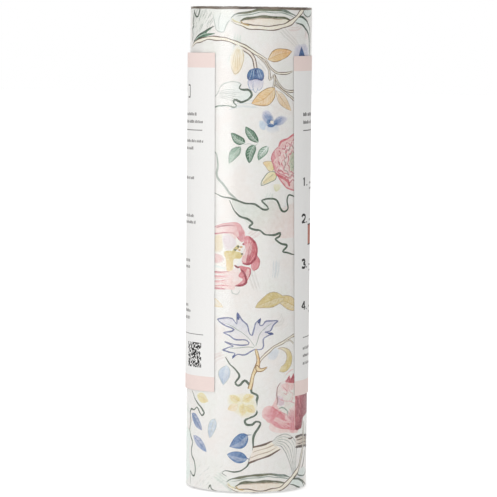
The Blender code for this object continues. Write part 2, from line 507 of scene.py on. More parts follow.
def pale_lobed_leaf(art):
    """An open leaf edge, drawn in grey-green, fading to the left."""
    edge = [(-26, 243), (-21.6, 246), (-19, 251), (-15, 253.2), (-8.6, 253.6), (-5.6, 252.6), (-6.8, 250)]
    edge += [
        (-4.4, 249), (-0.8, 248.8), (0.9, 245.8), (-1.6, 243), (-5.6, 241.6), (-9.6, 243.2), (-10, 240.8)
    ]
    edge += [(-8.2, 239.4), (-10, 238), (-15, 239.2), (-21, 238.8), (-26, 236)]
    art.patch(edge, MINT, GROUND, ((0, 245), (-20, 245)))
    art.line(edge[:7], 0.7, PALE_LINE)
    art.line(edge[5:15], 1.3, LEAF_LINE)
    art.line(edge[13:], 0.8, SOFT_LINE)
    streaks(art, (-20, 246), (-5, 245.4), 8, 6, 0.35, PALE_LINE, 0.6)


def little_blue_flower(art):
    """Soft rounded petals round a light eye."""
    heart = (13.4, 229)
    upper = [
        (8.2, 230.6), (7.6, 233.4), (8.6, 236.2), (11.6, 236.4), (14.4, 232.6), (13.6, 228.8),
        (9.8, 228.6)
    ]
    aside = [(5.8, 229.6), (6, 225.8), (9, 224.8), (12.6, 227.8), (9, 229.8)]
    right = [(14.4, 229.2), (16.6, 231.8), (20, 232.9), (24.6, 231.4), (21.4, 227.8), (17, 227.2)]
    lower = [(9.8, 226.2), (11.6, 223.4), (15, 222.5), (19, 223.8), (18.2, 226.6), (13.7, 228)]
    wash(art, aside, MID_BLUE * 0.3 + PALE_BLUE * 0.7, PALE_BLUE, (heart, (6, 226)))
    wash(art, lower, MID_BLUE * 0.3 + PALE_BLUE * 0.7, GROUND, (heart, (15, 222)))
    wash(art, upper, MID_BLUE, LAVENDER * 0.7 + GROUND * 0.3, (heart, (9.4, 236)))
    wash(art, right, MID_BLUE, LAVENDER * 0.7 + GROUND * 0.3, (heart, (24, 232)))
    streaks(art, (12.6, 230), (9.4, 235.4), 4, 5, 0.35, MID_BLUE)
    streaks(art, (15, 229.2), (21.6, 230.8), 3, 5, 0.35, MID_BLUE)
    for spot, size, tilt in (
        ((11.4, 229.6), (1.7, 1.1), 60), ((13, 227.4), (2.5, 1.0), 0), ((16.2, 228.4), (1.5, 0.9), 20)
    ):
        art.shape(ellipse(spot, size, tilt=tilt), BLUE * 0.6 + MID_BLUE * 0.4)
    art.line([(12.2, 231), (13.2, 233.6)], 0.8, MID_BLUE)
    art.shape(ellipse((13.7, 229.5), (1.1, 0.9)), CREAM)


def green_sprig(art):
    """Five leaves on a fine stalk."""
    art.line([(2.6, 215), (-1, 215.8), (-4, 215.4)], 0.25, SOFT_LINE)
    art.line([(5, 216.4), (2.4, 214), (1.6, 209)], 0.25, SOFT_LINE)
    leaf(art, (5.4, 217), (-2.4, 226.6), 5.4, GREEN, MID_GREEN, GREEN, PALE_GREEN, 0.8, 4)
    leaf(art, (-3, 216.4), (-12, 222.2), 5.0, GREEN, MID_GREEN, GREEN, PALE_GREEN, 0.6, 4)
    leaf(art, (-5.2, 214.4), (-13, 204), 5.4, MID_GREEN, PALE_GREEN, SOFT_LINE, PALE_GREEN, -0.8, 4)
    leaf(art, (2.8, 215.4), (-0.4, 204.4), 5.4, MID_GREEN, GREEN, GREEN, PALE_GREEN, -0.8, 4)
    leaf(art, (11.4, 214.6), (5.6, 205.6), 4.8, PALE_GREEN, MID_GREEN, MID_GREEN, MINT, -0.8, 4)


def ruffled_flower(art):
    """A full round flower of curled petals, with pointed sepals."""
    first = [(8.4, 204.2), (11.5, 205.6), (14.2, 205), (15.4, 201), (14, 199), (11.7, 199.9), (10, 202)]
    second = [
        (7.5, 190.7), (8.2, 193.4), (9.4, 195.6), (11, 197.8), (13.2, 199), (16, 199), (17.6, 196.8),
        (16.4, 193.8), (13.4, 192.4)
    ]
    third = [(15.6, 191), (20.6, 191), (19.8, 188.4), (17.2, 186.6), (15.6, 188.6)]
    art.patch(third, PALE_YELLOW * 0.7 + PALE_GREEN * 0.3, CREAM, ((18, 187), (18, 192)))
    art.patch(first, OCHRE * 0.3 + PALE_OCHRE * 0.7, PALE_YELLOW, ((9, 204), (15, 200)))
    art.line(first, 0.4, SOFT_BROWN, closed=True)
    art.patch(second, CREAM, PALE_YELLOW, ((8, 191), (16, 198)))
    art.line(second, 0.5, SOFT_LINE * 0.9, closed=True)
    art.line([(8, 191.2), (11.4, 194.6), (15.6, 197.6)], 0.4, SOFT_LINE)
    streaks(art, (9, 192), (15.4, 197.4), 4, 4, 0.3, STRAW)
    rim = [
        (38, 222.4), (30.4, 221.4), (25.5, 219.3), (20.2, 217.6), (18.8, 214.3), (15.4, 211), (14, 207.1),
        (14.9, 203.2), (15.9, 200.4)
    ]
    rim += [
        (18.4, 197), (19.1, 194.8), (22.4, 191.3), (26, 188.5), (30.6, 187.2), (37, 187.4), (44, 192),
        (48, 204), (44.6, 216)
    ]
    art.patch(rim, PINK, PALE_PINK, ((15, 205), (23, 205)))
    art.line(rim[:5], 1.4, ROSE * 0.7 + PINK * 0.3, (0.6, 0.5))
    art.line(rim[4:10], 0.6, PINK_LINE)
    art.line(rim[9:15], 0.8, ROSE * 0.6 + PINK * 0.4)
    face = [
        (30, 217.6), (24, 214.8), (20.4, 212.8), (18.4, 207), (19.2, 202), (21.4, 198.4), (23.6, 194.8),
        (30, 191.6), (38, 192)
    ]
    face += [(44, 199), (43, 211), (37, 217.4)]
    art.patch(face, PALE_PINK, BLUSH, ((19, 205), (32, 205)))
    art.shape(ellipse((30, 205), (8.4, 10.2)), tint(240, 226, 220))
    art.shape(ellipse((29.4, 205.4), (2.4, 6.4)), PALE_GREEN * 0.7 + PALE_OCHRE * 0.3)
    greyed = SOFT_LINE * 0.5 + PINK * 0.5
    tones = (PINK_LINE, PALE_PINK, greyed, PINK, BLUSH, PINK_LINE, PALE_PINK)
    for k, tone in enumerate(tones):
        curls = 8 + k
        petals = []
        for a in np.linspace(0, TURN, 5 * curls, endpoint=False):
            reach = 1 + 0.11 * math.sin(curls * a + 1.3 * k) + 0.05 * math.sin(3 * a + k)
            petals.append(
                (
                    30 + (4.2 + 1.45 * k) * reach * math.cos(a),
                    205 + (6.6 + 1.15 * k) * reach * math.sin(a)
                )
            )
        art.line(petals, 0.85, tone, closed=True, soft=False)
    hatching(art, (29.6, 205.4), (3.4, 9), (0.5, 0.85), 20, LEAF_LINE * 0.6 + PALE_GREEN * 0.4, 0.4, 9)
    hatching(art, (25, 204), (14, 20), (-0.3, 0.95), 30, PINK_LINE, 0.4, 14, 1.2)
    art.line(
        [(16.8, 198), (19.6, 195.9), (22.6, 194.8), (25.8, 192.8), (27.4, 189.6)], 1.5,
        ROSE * 0.8 + PINK * 0.2
    )
    art.line([(17.6, 199.6), (20, 197.4), (24, 196.2), (28, 194.6)], 0.6, PINK_LINE)
    art.line([(16.2, 210), (17.4, 206), (17, 202)], 0.7, PALE_PINK)


def winding_stems(art):
    """The long grey and green leaf edges across the middle."""
    art.line(
        [(-26, 211), (-21.6, 209.6), (-20.8, 202), (-21.2, 196.4), (-17, 191), (-12, 185.4), (-6, 180.4)],
        1.3, SOFT_LINE * 0.5 + PALE_LINE * 0.5
    )
    body = [
        (-11, 181), (0, 179.8), (9, 176.4), (14, 181.4), (21, 176.4), (27, 179), (34, 178), (36, 160),
        (22, 158)
    ]
    art.patch(
        body + [(8, 161.6), (0, 167), (-5, 171.6)], PALE_GREEN * 0.35 + GROUND * 0.65, BLUSH,
        ((0, 180), (30, 155))
    )
    upper = [
        (-26, 187), (-17, 183.2), (-9.6, 181.8), (-3, 179.8), (4, 178.6), (8.6, 175.6), (12, 176.4),
        (10.4, 179)
    ]
    upper += [
        (8.2, 181.4), (12.4, 182.4), (17.6, 181.2), (20.4, 176.2), (23.4, 174), (26.4, 176.2),
        (25.2, 181), (27, 184.4)
    ]
    art.line(upper + [(34, 182)], 1.15, LEAF_LINE, (0.2, 0.5))
    lower = [
        (-12.6, 181), (-9.8, 176), (-5.6, 171.4), (0, 169.8), (2.4, 167.2), (0, 164.8), (3.4, 163.2),
        (7.2, 162.8)
    ]
    lower += [
        (10.6, 160.2), (16, 159.8), (20.6, 161.4), (20.2, 159.2), (17.4, 157.4), (21, 154.8),
        (25.6, 153.2), (22.6, 149.8)
    ]
    art.line(lower + [(27, 148.8), (34, 146.6)], 1.2, LEAF_LINE, (0.3, 0.4))


def open_flower(art):
    """The large pink flower with rolled petals and a yellow heart."""
    inside = [(-40, 160), (-15, 160.6), (-8, 160), (-4, 155), (-5, 146), (-8, 140), (-12, 137), (-40, 136)]
    art.shape(inside, tint(251, 246, 240))
    wash(art, [(-23, 150), (-23, 158), (-18, 160), (-16, 155), (-18, 150)], PALE_OCHRE * 0.6 + GROUND * 0.4)
    wash(art, [(-16, 159), (-10, 160), (-8, 155), (-10, 151), (-15, 151)], LAVENDER * 0.3 + BLUSH * 0.7)
    wash(art, [(-28, 147), (-22, 148), (-16, 146), (-18, 142.6), (-27, 142.4)], PALE_PINK)
    art.line([(-36, 139.6), (-24, 140), (-15, 139.4)], 1.1, MINT * 0.97)
    top = [
        (-40, 160), (-30, 162), (-22.6, 164.2), (-19.3, 165.6), (-15.1, 166.9), (-9.1, 167.3),
        (-5.7, 166.4), (-3.6, 163.8)
    ]
    top += [
        (-2.2, 161.4), (-2, 157.6), (-4.4, 155.4), (-7, 158.6), (-10, 161), (-15, 160.9), (-22.6, 160.6),
        (-40, 158)
    ]
    art.patch(top, BLUSH, PINK * 0.75 + PALE_PINK * 0.25, ((-19, 162), (-6, 161)))
    art.line(top[1:8], 0.5, PINK_LINE * 0.5 + PINK * 0.5)
    art.line([(-21, 164), (-18, 165.2), (-13.6, 165.8), (-9, 165.2)], 0.9, PINK_LINE * 0.8)
    art.line(
        [(-30, 160.3), (-22.6, 160.5), (-15, 160.9), (-10, 161.1), (-7.4, 159.6), (-5.6, 156.6)], 0.9,
        PINK_LINE
    )
    streaks(art, (-7, 158.6), (-13, 165.8), 8, 7, 0.4, PALE_PINK)
    streaks(art, (-4.6, 157), (-4, 164.6), 4, 4, 0.5, PINK_LINE)
    heart = [
        (-15.6, 149.2), (-9.9, 149.9), (-5, 149.3), (-3.4, 147.8), (-5, 145.3), (-9.3, 144.6), (-10, 138),
        (-13.8, 138), (-14, 145)
    ]
    art.patch(heart, STRAW, PALE_OCHRE, ((-6, 148), (-13, 139)))
    art.line([(-9.6, 149), (-8.2, 151.4), (-6, 153.6)], 2.2, STRAW * 0.92, (0.6, 0.6))
    for x, y, tone in (
        (-6.6, 153, OLIVE),
        (-8.4, 150.8, OLIVE),
        (-4.7, 152.8, OCHRE * 0.8),
        (-5.6, 150.9, OCHRE * 0.8),
        (-3.2, 154.4, DEEP_ROSE),
        (-3.6, 148.4, OLIVE),
    ):
        art.shape(ellipse((x, y), (0.9, 0.65)), tone)
    low = [
        (-40, 136.5), (-22.3, 136.5), (-12.2, 137.4), (-8, 139.4), (-5.4, 138), (-3, 132), (-8.2, 128.4),
        (-8.4, 126.7), (-14.6, 126), (-40, 127)
    ]
    art.patch(low, PALE_PINK * 0.7 + BLUSH * 0.3, BLUSH, ((-16, 130), (-6, 136)))
    for k in range(9):
        y = 127.6 + 1.0 * k
        tone = (PINK, GROUND, PALE_PINK)[k % 3]
        art.line([(-38, y), (-24, y + 0.4), (-10 - (k * 5) % 6, y + 0.9)], 0.55, tone, (0.4, 0.1))
    art.line([(-36, 127.4), (-22.1, 126.8), (-14.6, 126.1)], 1.0, PINK_LINE)
    art.line([(-32, 136.4), (-22.3, 136.6), (-12.2, 137.3)], 0.7, PINK_LINE)
    art.line([(-10.4, 126.4), (-10.1, 124.3), (-6.4, 123.6), (-5.2, 126.2)], 0.6, PALE_LINE)
    small = [(4.4, 148), (5.8, 146), (7, 143.5), (6.2, 139.7), (3.4, 138), (1.6, 140.6), (2.8, 144.4)]
    art.patch(small, PINK, ROSE * 0.8 + PINK * 0.2, ((2.6, 140), (6, 145)))
    art.line(small[:5], 0.6, ROSE * 0.8)
    rolled = [
        (-2.3, 158.8), (0.5, 159), (3.9, 155.9), (5.5, 152), (4.9, 148), (4.2, 145.6), (3, 143.8),
        (0.3, 142.1), (-3.6, 142.4)
    ]
    rolled += [(-3.8, 145.4), (-1.8, 150), (-3, 155)]
    art.patch(rolled, PINK, ROSE, ((-2.6, 150), (6, 150)))
    streaks(art, (-2.6, 143.4), (1.4, 158), 4.6, 6, 0.4, PALE_PINK, 0.6)
    streaks(art, (-0.4, 143), (3.6, 156.6), 3.4, 5, 0.4, DEEP_ROSE * 0.6 + ROSE * 0.4, 0.8)
    art.line(
        [(0.2, 158.9), (3.8, 155.8), (5.3, 152), (4.7, 148.2)], 1.5, DEEP_ROSE * 0.7 + ROSE * 0.3,
        (0.2, 0.7)
    )
    art.line(
        [(4.8, 148.6), (4.2, 145.8), (2.9, 143.9), (0.3, 142.3), (-3.7, 142.4)], 1.3, DEEP_ROSE,
        (0.9, 0.3)
    )
    art.line([(-9, 141.1), (-6.8, 139.8), (-4.6, 140.6)], 1.0, DEEP_ROSE * 0.7)
    fold = [
        (-5.9, 140.6), (-3, 140.8), (1.3, 139.8), (1.4, 136.8), (0.7, 134), (-0.5, 131.4), (-3.4, 128.8),
        (-8.4, 128.5), (-4.8, 130.8)
    ]
    fold += [(-3, 133), (-6, 134.8), (-4.6, 137.4)]
    art.patch(fold, ROSE * 0.8 + PINK * 0.2, PINK, ((0.6, 138), (-6, 130)))
    streaks(art, (0, 139.4), (-1.6, 131.6), 2.4, 4, 0.4, PALE_PINK, 0.3)
    art.line(
        [(-4.9, 138.8), (-2.5, 136.4), (-1.2, 133), (-1.1, 130.6), (-3.4, 129.1), (-8.2, 128.6)], 1.2,
        DEEP_ROSE * 0.9
    )
    art.line([(1.2, 139.6), (1.3, 136.8), (0.5, 133.6)], 0.6, DEEP_ROSE)


def folded_leaf(art):
    """Two leaf blades that overlap."""
    rib = OCHRE_LINE * 0.3 + STRAW * 0.7
    blade = STRAW * 0.7 + PALE_OCHRE * 0.3
    leaf(art, (36, 113.6), (17.4, 121.2), 8.2, PALE_OCHRE, blade, SOFT_BROWN, rib, -0.8, 5, 0.4)
    leaf(art, (24.6, 121.2), (4.6, 115.2), 8.8, blade, STRAW * 0.9, SOFT_BROWN, rib, -1.6, 6, 0.4)


def blue_leaf(art):
    """The three-armed leaf with toothed edges, on its ochre stem."""
    edge = [
        [(4.8, 89.4), (-2, 86.2), (-6.4, 86), (-9.2, 83.4)],
        [(-8, 86.6), (-11.8, 87.4), (-15.8, 88.8)],
        [(-11, 90.4), (-8.8, 91.2), (-14.6, 93.6)],
        [(-6, 92.2), (0.6, 92.4), (-0.6, 94.8), (-8, 95.8), (-11.6, 97.8), (-15.8, 99)],
        [(-9.8, 100.6), (-8.6, 101.8), (-13.4, 103.4), (-20, 107.4)],
        [(-14.6, 108.8), (-9.4, 108), (-6.6, 105), (-6.6, 111.8)],
        [(-3.4, 107.6), (0, 104.6), (1.2, 99.4), (3, 98.2), (4.2, 102.4), (5, 105.6), (7.8, 108.4)],
        [(7.4, 104.6), (9.4, 104.8), (12, 107.2), (20, 106.6)],
        [(16.6, 104), (14.6, 100.6), (11, 100.2), (16.4, 98.6)],
        [(12, 97.2), (9.8, 95.4), (10, 91.4), (8.4, 89.4), (4.8, 89.4)],
    ]
    outline = toothed(edge)
    art.shape(outline, GROUND, LAVENDER * 0.6 + GROUND * 0.4, ((2, 92), (4, 110)))
    art.line(outline, 0.8, BLUE_LINE * 0.75 + LAVENDER * 0.25, closed=True, soft=False)
    for tip, back in (
        ((-6.6, 111.8), (-5.4, 107.6)), ((7.8, 108.4), (6.4, 105.4)), ((-9.2, 83.4), (-8, 86)),
        ((16.4, 98.6), (13, 99.2))
    ):
        art.line([tip, back], 1.6, BLUE_LINE, (0.3, 0.5))
    for path in (
        [(4.6, 91), (0, 96.6), (-6, 101.4), (-14, 105.4)],
        [(5.2, 91.4), (7, 97.6), (10.4, 102), (15.6, 105.6)],
        [(4, 90.4), (-3, 90.8), (-11, 89.4)],
    ):
        art.line(path, 0.35, SOFT_LINE, (0.9, 0.3))
    crescent = np.vstack(
        [ellipse((23.6, 82.6), (7.8, 7.6), 150, -110), ellipse((21, 83.6), (5.8, 5.6), -75, 120)]
    )
    art.shape(crescent, STRAW, CREAM, ((30, 82), (17, 89)))
    art.line(ellipse((23.6, 82.6), (7.8, 7.6), 150, -110), 0.4, SOFT_BROWN, soft=False)
    art.line(ellipse((21, 83.6), (5.8, 5.6), -75, 120), 0.4, SOFT_BROWN, soft=False)
    wash(art, [(13, 87), (16.4, 90.4), (20.4, 88), (18, 83.4), (14, 83.6)], PALE_BLUE * 0.6 + GROUND * 0.4)
    branch(
        art, [(6, 79.4), (10.6, 85.4), (17.4, 90.6), (25, 94), (36, 98.6)], 1.9, CREAM, SOFT_BROWN * 0.6,
        0.5, (0.9, 0.5)
    )
    branch(art, [(25, 93.6), (29.6, 94), (33, 91.6)], 1.1, CREAM, SOFT_BROWN * 0.6, 0.35, (0.9, 0.5))
    branch(
        art, [(5.4, 89.4), (6.8, 84), (6, 78.4), (3.4, 72), (1.8, 64.6)], 2.6, PALE_OCHRE, OCHRE_LINE,
        0.55, (0.6, 0.9)
    )
    art.line([(6.4, 86), (7.2, 82.6), (6.2, 78.6)], 0.5, OCHRE, (0.2, 0.2))
    thorn = [(5.6, 79.6), (8.6, 77.4), (12.6, 78.6), (9.8, 76), (6, 76)]
    art.patch(thorn, PALE_OCHRE)
    art.line(thorn, 0.5, OCHRE_LINE, closed=True)


def river_line(art):
    """The strong green leaf edge that runs down to the bottom."""
    path = [
        (-14, 84.6), (-10.4, 79.6), (-6, 75.4), (-5, 72.4), (-7.2, 69.2), (-5.8, 67), (-3.6, 67.6),
        (-1.6, 70)
    ]
    path += [(2.2, 66.4), (3.2, 62.8), (6.8, 60.8), (6.2, 57), (5.4, 52.4), (6.4, 50), (4.8, 47.8), (1, 46.8)]
    path += [(-1.2, 45.2), (-0.2, 42.8), (3.2, 42.6), (6, 44.6), (8.8, 44), (7.4, 41), (4.8, 36.4), (4.2, 28)]
    path += [(3.2, 22), (0.6, 17.4), (-3, 14.4), (-8, 13.3), (-13.4, 13.4), (-15.2, 11.8), (-12, 10.2)]
    art.line(path, 1.35, LEAF_LINE, (0.3, 0.2))
    side = [
        (-43.4, 61), (-37, 54.6), (-31.6, 51.2), (-29.2, 48.6), (-31, 46.8), (-33.4, 48.2), (-36.2, 51),
        (-40, 49.4)
    ]
    side += [
        (-44, 49.6), (-46, 46.6), (-44.4, 41), (-46.4, 36), (-44.2, 31.6), (-41.4, 28.8), (-43, 24.4),
        (-42.6, 20.6)
    ]
    side += [(-39.4, 17.4), (-37.6, 12.6), (-38.8, 8.4), (-42, 8), (-44.6, 10), (-44.6, 2)]
    art.line(side, 1.0, LEAF_LINE, (0.4, 0.4))
    art.patch([(-46, 34), (-47, 22), (-46, 8), (-56, 4), (-60, 20), (-56, 36)], MINT)
    hatching(art, (-27, 10), (22, 15), (0.7, 0.7), 40, PALE_LINE, 0.4, 8, 1.4)
    art.line([(-25.2, 1.4), (-23.6, 4.2), (-22.4, 1.2), (-15, 0.6)], 0.7, LEAF_LINE)


def small_leaves(art):
    """Loose blue and ochre leaves in the lower part."""
    violet = BLUE * 0.35 + LAVENDER * 0.65
    leaf(
        art, (-12.6, 79.4), (-15, 66.6), 7.6, PALE_BLUE, MID_BLUE * 0.5 + PALE_BLUE * 0.5, PALE_LINE,
        PALE_BLUE, -1.0, 4
    )
    leaf(art, (-43.4, 46.8), (-31, 37.2), 5.6, MID_BLUE, violet * 0.9, MID_BLUE, BLUE, 0.6, 3, 0.35)
    leaf(
        art, (-20.6, 45.6), (-24.4, 33.2), 5.8, PALE_BLUE, MID_BLUE * 0.3 + PALE_BLUE * 0.7, PALE_LINE,
        PALE_LINE, -0.8, 3, 0.35
    )
    leaf(art, (-40.6, 33), (-27, 24.6), 5.4, LAVENDER, MID_BLUE, MID_BLUE, BLUE, 0.6, 3, 0.35)
    leaf(art, (1.0, 36.4), (-10.4, 28.6), 8.0, BLUE, MID_BLUE, BLUE, MID_BLUE, 0.6, 4, 0.4)
    leaf(art, (1.0, 22), (-12.0, 24.0), 7.0, BLUE, MID_BLUE, BLUE, MID_BLUE, 0.6, 4, 0.4)
    art.line([(-0.6, 36), (3.4, 36.6)], 0.5, BLUE_LINE)
    art.line([(0.6, 22.4), (2.6, 21)], 0.5, BLUE_LINE)
    tails = ((-3, 57.4), (4.8, 60.6)), (
        (-2.4, 56), (-2.6, 48.6)
    ), ((-4, 57.4), (-11, 60.4)), ((-1, 54.6), (5, 50.4))
    wash(
        art, [(-10, 53), (-11, 60), (-2, 61.6), (4, 60), (5, 51), (-2, 47.6)],
        PALE_YELLOW * 0.5 + GROUND * 0.5
    )
    for base, tip in tails:
        leaf(art, base, tip, 4.6, PALE_YELLOW, PALE_OCHRE, PALE_YELLOW, STRAW, 0.4, 4, 0.35)
    leaf(art, (-5.6, 54.8), (-12, 52), 4.2, CREAM, PALE_OCHRE, PALE_OCHRE, PALE_OCHRE, 0.4, 3, 0.3)
    leaf(art, (-36.6, 58.8), (-26, 56), 6.0, PALE_YELLOW, PALE_OCHRE, PALE_YELLOW, STRAW, 0.4, 3, 0.3)
    leaf(
        art, (-30, 118.6), (-15.8, 115.4), 5.0, CREAM, PALE_OCHRE * 0.5 + GROUND * 0.5, PALE_OCHRE, None,
        0.8
    )


def big_pink_flower(art):
    """The large flower at the lower right, with its curved pale leaf, stem and dark twigs."""
    art.shape([(4.2, 28.4), (17, 32), (23, 26.6), (1.4, 19)], PEACH, CREAM, ((3, 24), (22, 29)))
    for path in ([(4, 28.4), (10, 30.2), (17, 32.2)], [(1.4, 19), (11.6, 22.2), (23, 26.7)]):
        art.line(path, 1.1, BROWN, (0.9, 0.4))
    for path in ([(4, 25.6), (12, 28), (19, 30)], [(3, 22.2), (11, 25), (20, 28)]):
        art.line(path, 0.5, SOFT_BROWN, (0.9, 0.4))
    outer = [(16.4, 31.4), (19.9, 34.9), (25.5, 36), (32, 33.8), (36, 29.6), (37, 21.7), (35.4, 10)]
    inner = [(18.6, 28.6), (21, 29.4), (23.4, 28.6), (25.8, 26), (27.6, 23), (29.6, 19), (33.6, 10.4)]
    leaf_edge = np.vstack([smooth(outer), smooth(inner)[::-1]])
    art.shape(leaf_edge, tint(240, 239, 233), GROUND, ((20, 34), (34, 10)))
    for k in range(6):
        share = k / 5
        path = [
            (a * (1 - share) + c * share, b * (1 - share) + d * share) for (a, b),
            (c, d) in zip(outer, inner)
        ]
        art.line(path, 0.6 if k in (0, 5) else 0.45, GREY_LINE if k in (0, 3, 5) else PALE_LINE * 0.9)
    under = [(15.4, 38.6), (15.6, 43.4), (26, 43), (37.5, 39), (38, 36.2), (27, 36.8)]
    art.patch(under, BLUSH * 0.97, PALE_PINK, ((22, 36.6), (24, 42)))
    whole = [
        (10.2, 52), (16, 54.4), (19, 60), (20.6, 67), (25, 69.4), (34.8, 68.4), (35.2, 38.3),
        (27.2, 39.2), (20.5, 40.9), (13, 44.6)
    ]
    art.patch(whole, PINK * 0.4 + PALE_PINK * 0.6, PALE_PINK, ((26, 44), (26, 60)))
    side = [(10.1, 52), (10.4, 47.2), (15.4, 44.8), (19, 47), (18, 53), (13.4, 54.4)]
    art.patch(side, PALE_PINK, PINK, ((10, 51), (18, 48)))
    streaks(art, (18, 46.6), (12, 51.4), 5, 5, 0.55, PINK, 0.3)
    cup = [
        (22, 68.6), (20.4, 66), (19.2, 60.4), (20, 57.6), (19.8, 54.6), (21.8, 51.6), (27.6, 47.8),
        (34.8, 50), (35, 68), (28, 69.4)
    ]
    art.patch(cup, tint(240, 228, 224), tint(238, 236, 228), ((20, 64), (33, 56)))
    wash(art, [(23, 67.4), (33.6, 67.8), (33.4, 63.6), (27, 62.4), (23.6, 64.4)], PALE_PINK)
    wash(art, [(20, 60), (24, 58.8), (25.4, 54.6), (22, 53.6), (20, 56)], LAVENDER * 0.4 + PALE_PINK * 0.6)
    art.line(cup[:5], 0.9, PINK_LINE * 0.5 + SOFT_LINE * 0.5, (0.4, 0.4))
    art.line([(24.4, 65.4), (27.4, 62.6), (26.4, 60.8), (24.2, 62.2)], 0.5, PINK_LINE)
    art.line([(28.6, 67.6), (29.4, 62.4), (32.6, 60.4), (30.8, 56)], 0.6, PALE_PINK * 0.9)
    art.line([(20.6, 58.4), (25, 57), (30, 56.4), (34.4, 54.4)], 0.6, PINK_LINE * 0.6 + PALE_PINK * 0.4)
    hatching(art, (28, 59), (11, 14), (0.5, 0.85), 26, PINK, 0.4, 6, 1.2)
    petal = [
        (16, 54), (18.4, 52.4), (21.6, 50.4), (25.9, 47), (30, 45.4), (34.9, 46), (35.2, 38.3),
        (27.2, 39), (20.5, 40.6), (15.6, 43.6), (15, 49)
    ]
    art.patch(petal, PINK, PINK * 0.7 + ROSE * 0.3, ((17, 52), (31, 40)))
    streaks(art, (16.6, 49.6), (34, 41), 12, 7, 0.4, ROSE * 0.5 + PINK * 0.5, -0.5)
    streaks(art, (18, 46), (31, 40), 6, 5, 0.45, PALE_PINK, -0.5)
    art.line([(16.2, 54), (20.8, 50.4), (25.9, 46.4), (30, 43.8)], 0.8, ROSE * 0.6 + PINK * 0.4)
    ruffle = [(25.8, 46), (27.4, 49), (30.4, 51.6), (34.8, 53), (35, 43.6), (30, 43)]
    art.patch(ruffle, PINK, BLUSH, ((33, 43), (28, 51)))
    streaks(art, (34, 43.6), (28.6, 51.6), 7, 7, 0.5, PINK_LINE, 0.5)
    art.line([(21.2, 52), (24.6, 52.6), (27.8, 50.4), (27.8, 47.8)], 0.7, SOFT_LINE)
    crest = [
        (25.8, 68.6), (27.4, 70.8), (29, 72.6), (29.9, 70), (31, 70.8), (32.8, 73.4), (34, 68),
        (29.6, 67.6)
    ]
    art.patch(crest, PINK, ROSE * 0.7 + DEEP_ROSE * 0.3, ((27, 72), (30.6, 68.4)))
    art.line([(27, 68.6), (29.2, 72)], 0.7, DEEP_ROSE)
    art.line([(31, 68.4), (32.6, 72.4)], 0.9, DEEP_ROSE)
    art.line([(25.6, 73), (29, 75), (33, 76)], 0.8, PALE_PINK)
    crimson = [
        (34.7, 61.6), (44, 61), (58.6, 60.6), (58.8, 47.4), (49.4, 45.6), (44, 44.2), (42.4, 38.2),
        (37.5, 37.3), (34.9, 38.6)
    ]
    art.shape(crimson, ROSE * 0.8, DEEP_ROSE * 0.8, ((37, 50), (50, 50)))
    streaks(art, (40, 38), (43, 60.6), 12, 8, 0.8, DEEP_ROSE * 0.75, 0.6)
    streaks(art, (39, 60), (38, 44), 6, 4, 0.5, PINK_LINE, 0.6)
    art.patch(
        [(35.4, 45), (40, 46), (42.2, 42), (41, 38.4), (36, 38.2)], DEEP_ROSE * 0.8, ROSE * 0.8,
        ((38, 40), (36, 45))
    )
    art.line([(34.7, 61), (34.6, 50), (34.9, 39)], 0.6, PALE_PINK)
    art.shape([(36, 33.6), (54, 32.6), (54, 26), (36, 26.6)], PEACH * 0.85, SOFT_BROWN, ((38, 30), (52, 30)))
    for path in ([(35.6, 33.5), (42, 33.7), (56, 32.4)], [(35.8, 26.8), (42, 27), (56, 25.6)]):
        art.line(path, 1.6, BROWN * 0.5, (0.5, 0.9))
    for path in ([(37, 31.4), (44, 31.4), (55, 30.6)], [(38, 29), (46, 29), (55, 28)]):
        art.line(path, 0.6, BROWN, (0.5, 0.9))
    art.line([(28.4, 33.2), (30.6, 32.6), (33, 33.4)], 1.1, BROWN * 0.6)
    stem = [
        (46, 42), (46.4, 30), (44.2, 22.3), (41, 16), (37.7, 11.4), (32.6, 6.4), (26, 2.4), (20.4, 0.2),
        (12, -3)
    ]
    branch(art, stem, 2.4, CREAM, BROWN * 0.7, 0.65, (0.5, 0.5))
    art.line([(53, 40), (51.6, 26), (46.4, 15.4), (39.6, 8.6)], 0.9, BROWN * 0.6, (0.4, 0.3))
    art.line([(35, 7.7), (44.8, 4.9), (55, 1)], 1.3, OLIVE * 0.8)
    art.line([(31.6, 5), (37.9, 2.7), (44, 0)], 1.2, OLIVE * 0.8)


# The motifs of the middle, each with its place across and up
MIDDLE_MOTIFS = (
    (pale_lobed_leaf, -12, 245),
    (little_blue_flower, 13, 229),
    (green_sprig, -3, 214),
    (ruffled_flower, 30, 204),
    (open_flower, -16, 147),
    (folded_leaf, 12, 119),
    (blue_leaf, 4, 96),
)
REPEAT = math.pi * ROLL_RADIUS
REPEAT_UP = 286.3
RING_UP = 291.8
# The stretch between two repeats, where the middle motifs stand again at other heights
BETWEEN = 64.0
BETWEEN_BOTTOM = 66.0
BETWEEN_TOP = 256.0
BETWEEN_LIFT = 90.0


def draw_cloth(left, right):
    """The whole print of the outer turn."""
    art = Drawing(left, right, CLOTH_BOTTOM, CLOTH_TOP, GROUND, 0.3)
    background(art)
    for repeat in (-1, 0, 1):
        art.move((repeat * REPEAT, 0))
        winding_stems(art)
        river_line(art)
        for motif, _, _ in MIDDLE_MOTIFS:
            motif(art)
        engraved_leaf(art)
        berry_branch(art)
        small_leaves(art)
        big_pink_flower(art)
        for up in (RING_UP, RING_UP - REPEAT_UP):
            ring(art, up)
    for repeat in (-2, -1, 0):
        for motif, middle, height in MIDDLE_MOTIFS:
            lifted = (height - BETWEEN_BOTTOM + BETWEEN_LIFT) % (BETWEEN_TOP - BETWEEN_BOTTOM)
            art.move((BETWEEN - middle + repeat * REPEAT, BETWEEN_BOTTOM + lifted - height))
            motif(art)
    return art


# Meshes


